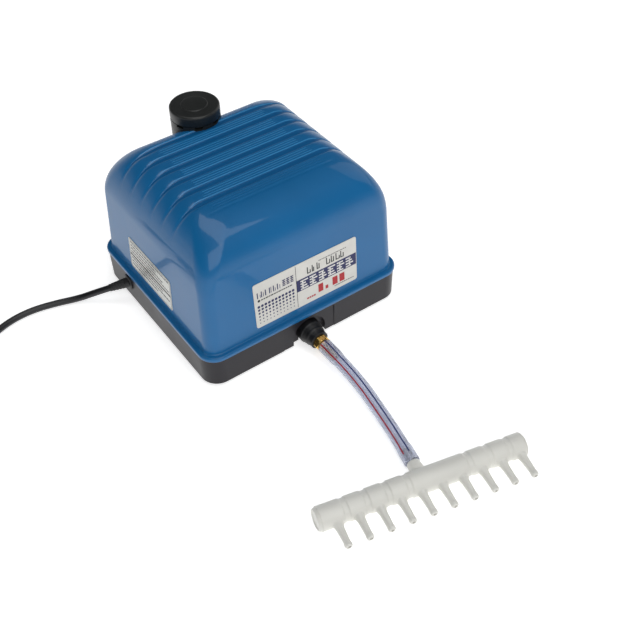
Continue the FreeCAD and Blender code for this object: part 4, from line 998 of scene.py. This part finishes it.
def coil_turns():
    """Clockwise turns: outwards in along the floor, back out on top of them, and a last half turn above."""
    points = []
    turn = COIL_START

    def add(radius, height):
        points.append(COIL_CENTRE + Vector((radius * math.cos(turn), radius * math.sin(turn), height)))

    following = COIL_PLAN[1:] + [COIL_TOP]
    for k, ((radius, height), (next_radius, next_height)) in enumerate(zip(COIL_PLAN, following)):
        for i in range(POINTS_PER_TURN):
            share = float(smoothstep(0.0, 1.0, (i / POINTS_PER_TURN - 0.72) / 0.28))
            wobble = 0.25 * math.sin(2.3 * k + 3 * turn)
            add(radius + (next_radius - radius) * share + wobble, height + (next_height - height) * share)
            turn -= 2 * math.pi / POINTS_PER_TURN
    while turn - COIL_END > 0.12:
        add(*COIL_TOP)
        turn -= 2 * math.pi / POINTS_PER_TURN
    return points


def build_lead():
    """The mains lead: laid out to its coil, round it and off to the plug."""
    leave = COIL_EXIT + UP * 17.6
    route = LAID_ROUTE + coil_turns() + [leave, leave + PLUG_WAY * 14.0 - UP * 1.4, PLUG_ENTRY]
    curve = nurbs_curve("mains_lead", route, CORD_R)
    curve.resolution_u = 8
    curve.use_fill_caps = True
    lead = linked("mains_lead", curve)
    curve.materials.append(SHEATH)
    place_piece(lead, ["mains_cord", "cord_coil", "plug_lead"])
    plug = build_plug()
    tie = build_tie()


def build_gland():
    """Collar in the base's wall and a ribbed, tapering sleeve that leads the cord out and down."""
    sleeve = [(POLE_R, -2.0), (5.6, -2.0)]
    for i in range(5):
        start = 1.0 + 3.6 * i
        radius = 5.5 - 0.28 * i
        sleeve += [(radius, start), (radius, start + 2.2),
                   (radius - 0.4, start + 2.5), (radius - 0.4, start + 3.3)]
    sleeve += [(4.1, 19.4), (4.0, 20.6), (3.8, 21.0), (POLE_R, 21.0)]
    collar = [(POLE_R, 0.0), (8.0, 0.0), (8.45, 0.2), (8.6, 0.6), (8.6, 1.6), (7.0, 1.6), (7.0, 7.1),
              (POLE_R, 7.1)]
    parts = [turned(sleeve, GLAND_OUT, GLAND_WAY, 48), turned(collar, (-118.0, 54.0, 23.0), (1, 0, 0), 48)]
    place_piece(new_object("lead_gland", *merge(parts), RUBBER), ["cord_gland"])


def rounded_outline(half_wide, half_tall, exponent, count):
    """An outline between an ellipse, at exponent 1, and a rectangle, near exponent 0."""
    return [(math.copysign(abs(c) ** exponent, c) * half_wide,
             math.copysign(abs(s) ** exponent, s) * half_tall) for c, s in circle(count)]


PLUG_SLEEVE = 20.0             # length of the ribbed sleeve on the plug's cord


def build_plug():
    """A ribbed sleeve and a moulded body, from sections of (along, half width, half height, squareness)."""
    count = 64
    sections = [(-PLUG_SLEEVE, 4.4, 4.4, 2.0), (-19.6, 4.7, 4.7, 2.0)]
    for i in range(5):
        start = -18.0 + 3.4 * i
        r = 4.9 + 0.28 * i
        sections += [(start, r, r, 2.0), (start + 2.1, r, r, 2.0), (start + 2.4, r - 0.6, r - 0.6, 2.0),
                     (start + 3.0, r - 0.6, r - 0.6, 2.0)]
    sections += [(-0.6, 6.4, 6.2, 2.0), (0.6, 8.4, 6.9, 2.1), (3.0, 9.6, 7.7, 2.2), (8.0, 11.2, 9.0, 2.3),
                 (14.0, 13.2, 10.2, 2.4), (20.0, 15.6, 11.8, 2.5), (25.0, 17.6, 13.0, 2.6),
                 (27.6, 18.6, 13.6, 2.6), (28.4, 19.2, 13.9, 2.8), (29.2, 19.4, 14.0, 2.8),
                 (33.8, 19.4, 14.0, 2.8), (34.6, 19.0, 13.7, 2.8), (35.0, 18.3, 13.2, 2.8)]
    points = [(along, u, v) for along, wide, tall, power in sections
              for u, v in rounded_outline(wide, tall, 2 / power, count)]
    faces = grid_faces(len(sections), count, around=True) + end_faces(len(sections), count)
    plug = new_object("plug_body", points, faces, SHEATH)
    plug.data.transform(Matrix.Translation(PLUG_ENTRY * MM) @ Matrix.Rotation(PLUG_YAW, 4, "Z")
                        @ Matrix.Translation((PLUG_SLEEVE * MM, 0, 0)))
    return place_piece(plug, ["mains_plug"])


def build_tie():
    """A flat strap round the coil's bundle, on the side away from the pump."""
    middle, half_wide, tall, half_strap, count = 37.8, 12.3, 22.4, 2.4, 40
    outline = [(middle + u, tall / 2 + 0.06 + v)
               for u, v in rounded_outline(half_wide, tall / 2 - 0.05, 0.6, count)]
    inner = [(middle + (r - middle) * 0.94, tall / 2 + (z - tall / 2) * 0.95) for r, z in outline]
    way = Vector((-1, 0.25, 0)).normalized()
    across = Vector((-way.y, way.x, 0))
    rings = ((outline, -half_strap), (outline, half_strap), (inner, half_strap), (inner, -half_strap))
    points = [COIL_CENTRE + way * r + UP * z + across * offset for ring, offset in rings for r, z in ring]
    faces = grid_faces(len(rings), count, around=True) + closing_band(len(rings), count)
    return place_piece(new_object("lead_tie", points, faces, BLACK_NYLON), [])


# ---- rubber diaphragms
SHUTTLE_AXIS = Vector((0.0, -14.0, 98.0))


def build_diaphragm(side, sign):
    """A clamped rim, a sloping wall and a centre that the shuttle carries."""
    shapes = {"rim": [(25.0, 64.2), (25.2, 64.0), (34.0, 64.0), (34.0, 66.0), (25.2, 66.0), (25.0, 65.8)],
              "wall": [(25.6, 64.3), (24.2, 64.5), (22.4, 65.3), (19.6, 66.5), (17.9, 66.9), (17.9, 68.1),
                       (19.8, 67.8), (22.8, 66.6), (24.6, 65.8), (25.6, 65.6)],
              "centre": [(4.0, 66.5), (18.2, 66.5), (18.5, 66.8), (18.5, 68.2), (18.2, 68.5), (4.0, 68.5)]}
    made = {}
    for part, profile in shapes.items():
        shape = turned(profile, SHUTTLE_AXIS, (sign, 0, 0))
        made[part] = new_object(f"diaphragm_{part}_{side}", *shape, RUBBER)
    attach(made["rim"], "casing")
    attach(made["centre"], "shuttle")
    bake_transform(made["wall"])
    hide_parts(f"diaphragm_{side}")


# ---- floor, lights and camera
def build_stage():
    """A pale floor that glows a little, and a world that is light at the horizon and dark above."""
    far = 4000.0
    floor = new_object("floor", [(-far, -far, 0), (far, -far, 0), (far, far, 0), (-far, far, 0)],
                       [(0, 1, 2, 3)], STEEL, smooth=False)
    material = bpy.data.materials.new("pale_floor")
    material.use_nodes = True
    shader = material.node_tree.nodes["Principled BSDF"]
    for key, value in {"Base Color": (0.86, 0.86, 0.86, 1), "Roughness": 0.9, "Emission Color": (1, 1, 1, 1),
                       "Emission Strength": 0.62}.items():
        shader.inputs[key].default_value = value
    floor.data.materials.clear()
    floor.data.materials.append(material)
    world = bpy.data.worlds.new("studio")
    bpy.context.scene.world = world
    world.use_nodes = True
    tree = world.node_tree
    back = tree.nodes["Background"]
    place = tree.nodes.new("ShaderNodeTexCoord")
    split = tree.nodes.new("ShaderNodeSeparateXYZ")
    ramp = tree.nodes.new("ShaderNodeValToRGB")
    horizon, zenith = ramp.color_ramp.elements
    horizon.position, horizon.color = 0.02, (0.95, 0.95, 0.95, 1)
    zenith.position, zenith.color = 0.42, (0.042, 0.046, 0.050, 1)
    ramp.color_ramp.elements.new(0.14).color = (0.42, 0.42, 0.42, 1)
    tree.links.new(place.outputs["Generated"], split.inputs["Vector"])
    tree.links.new(split.outputs["Z"], ramp.inputs["Fac"])
    tree.links.new(ramp.outputs["Color"], back.inputs["Color"])
    back.inputs["Strength"].default_value = 1.0


def softbox(name, way, far, wide, tall, power):
    """An area light that faces the pump from far away along a direction, in metres and watts."""
    light = bpy.data.lights.new(name, "AREA")
    light.shape = "RECTANGLE"
    light.size, light.size_y = wide, tall
    light.energy = power
    lamp = linked(name, light)
    aim = Vector((0, 0, 0.10))
    lamp.location = aim + Vector(way).normalized() * far
    lamp.rotation_euler = (aim - lamp.location).to_track_quat("-Z", "Y").to_euler()


def build_lights():
    """A large light in front, a long one above and a weak one at the right."""
    softbox("key", (-0.25, -0.85, 0.9), 2.6, 2.4, 1.9, 30.0)
    softbox("top", (0.05, 0.02, 1.0), 2.2, 2.6, 0.85, 17.0)
    softbox("side", (1.0, 0.1, 0.7), 2.4, 1.6, 1.6, 7.0)


LENS, SENSOR = 56.13, 36.0
CAMERA_PLACE = Vector((-391.12, -689.94, 742.10))
CAMERA_AZIMUTH, CAMERA_PITCH, CAMERA_ROLL = -35.859, -44.536, -0.394
CAMERA_SHIFT = (-0.0186, -0.0278)


def build_camera():
    """The camera looks down on the pump's front left corner."""
    azimuth, pitch, roll = (math.radians(a) for a in (CAMERA_AZIMUTH, CAMERA_PITCH, CAMERA_ROLL))
    level = math.cos(pitch)
    ahead = Vector((-math.sin(azimuth) * level, math.cos(azimuth) * level, math.sin(pitch)))
    right = ahead.cross(UP).normalized()
    up = right.cross(ahead)
    rolled_right = right * math.cos(roll) + up * math.sin(roll)
    rolled_up = -right * math.sin(roll) + up * math.cos(roll)
    data = bpy.data.cameras.new("camera")
    data.lens, data.sensor_width = LENS, SENSOR
    data.shift_x, data.shift_y = CAMERA_SHIFT
    data.clip_start, data.clip_end = 0.01, 50
    camera = linked("camera", data)
    turn = Matrix((rolled_right, rolled_up, -ahead)).transposed().to_4x4()
    camera.matrix_world = Matrix.Translation(CAMERA_PLACE * MM) @ turn
    bpy.context.scene.camera = camera
    bpy.context.scene.view_settings.view_transform = "Standard"


build_camera()
build_lights()
build_stage()
paint_cad_nodes()
build_lead()
build_gland()
build_hose_tail()
build_hose()
build_boot()
build_cover()
build_cap()
build_front_print()
build_side_print()
build_manifold()
build_manifold_caps()
build_diaphragm("right", 1)
build_diaphragm("left", -1)
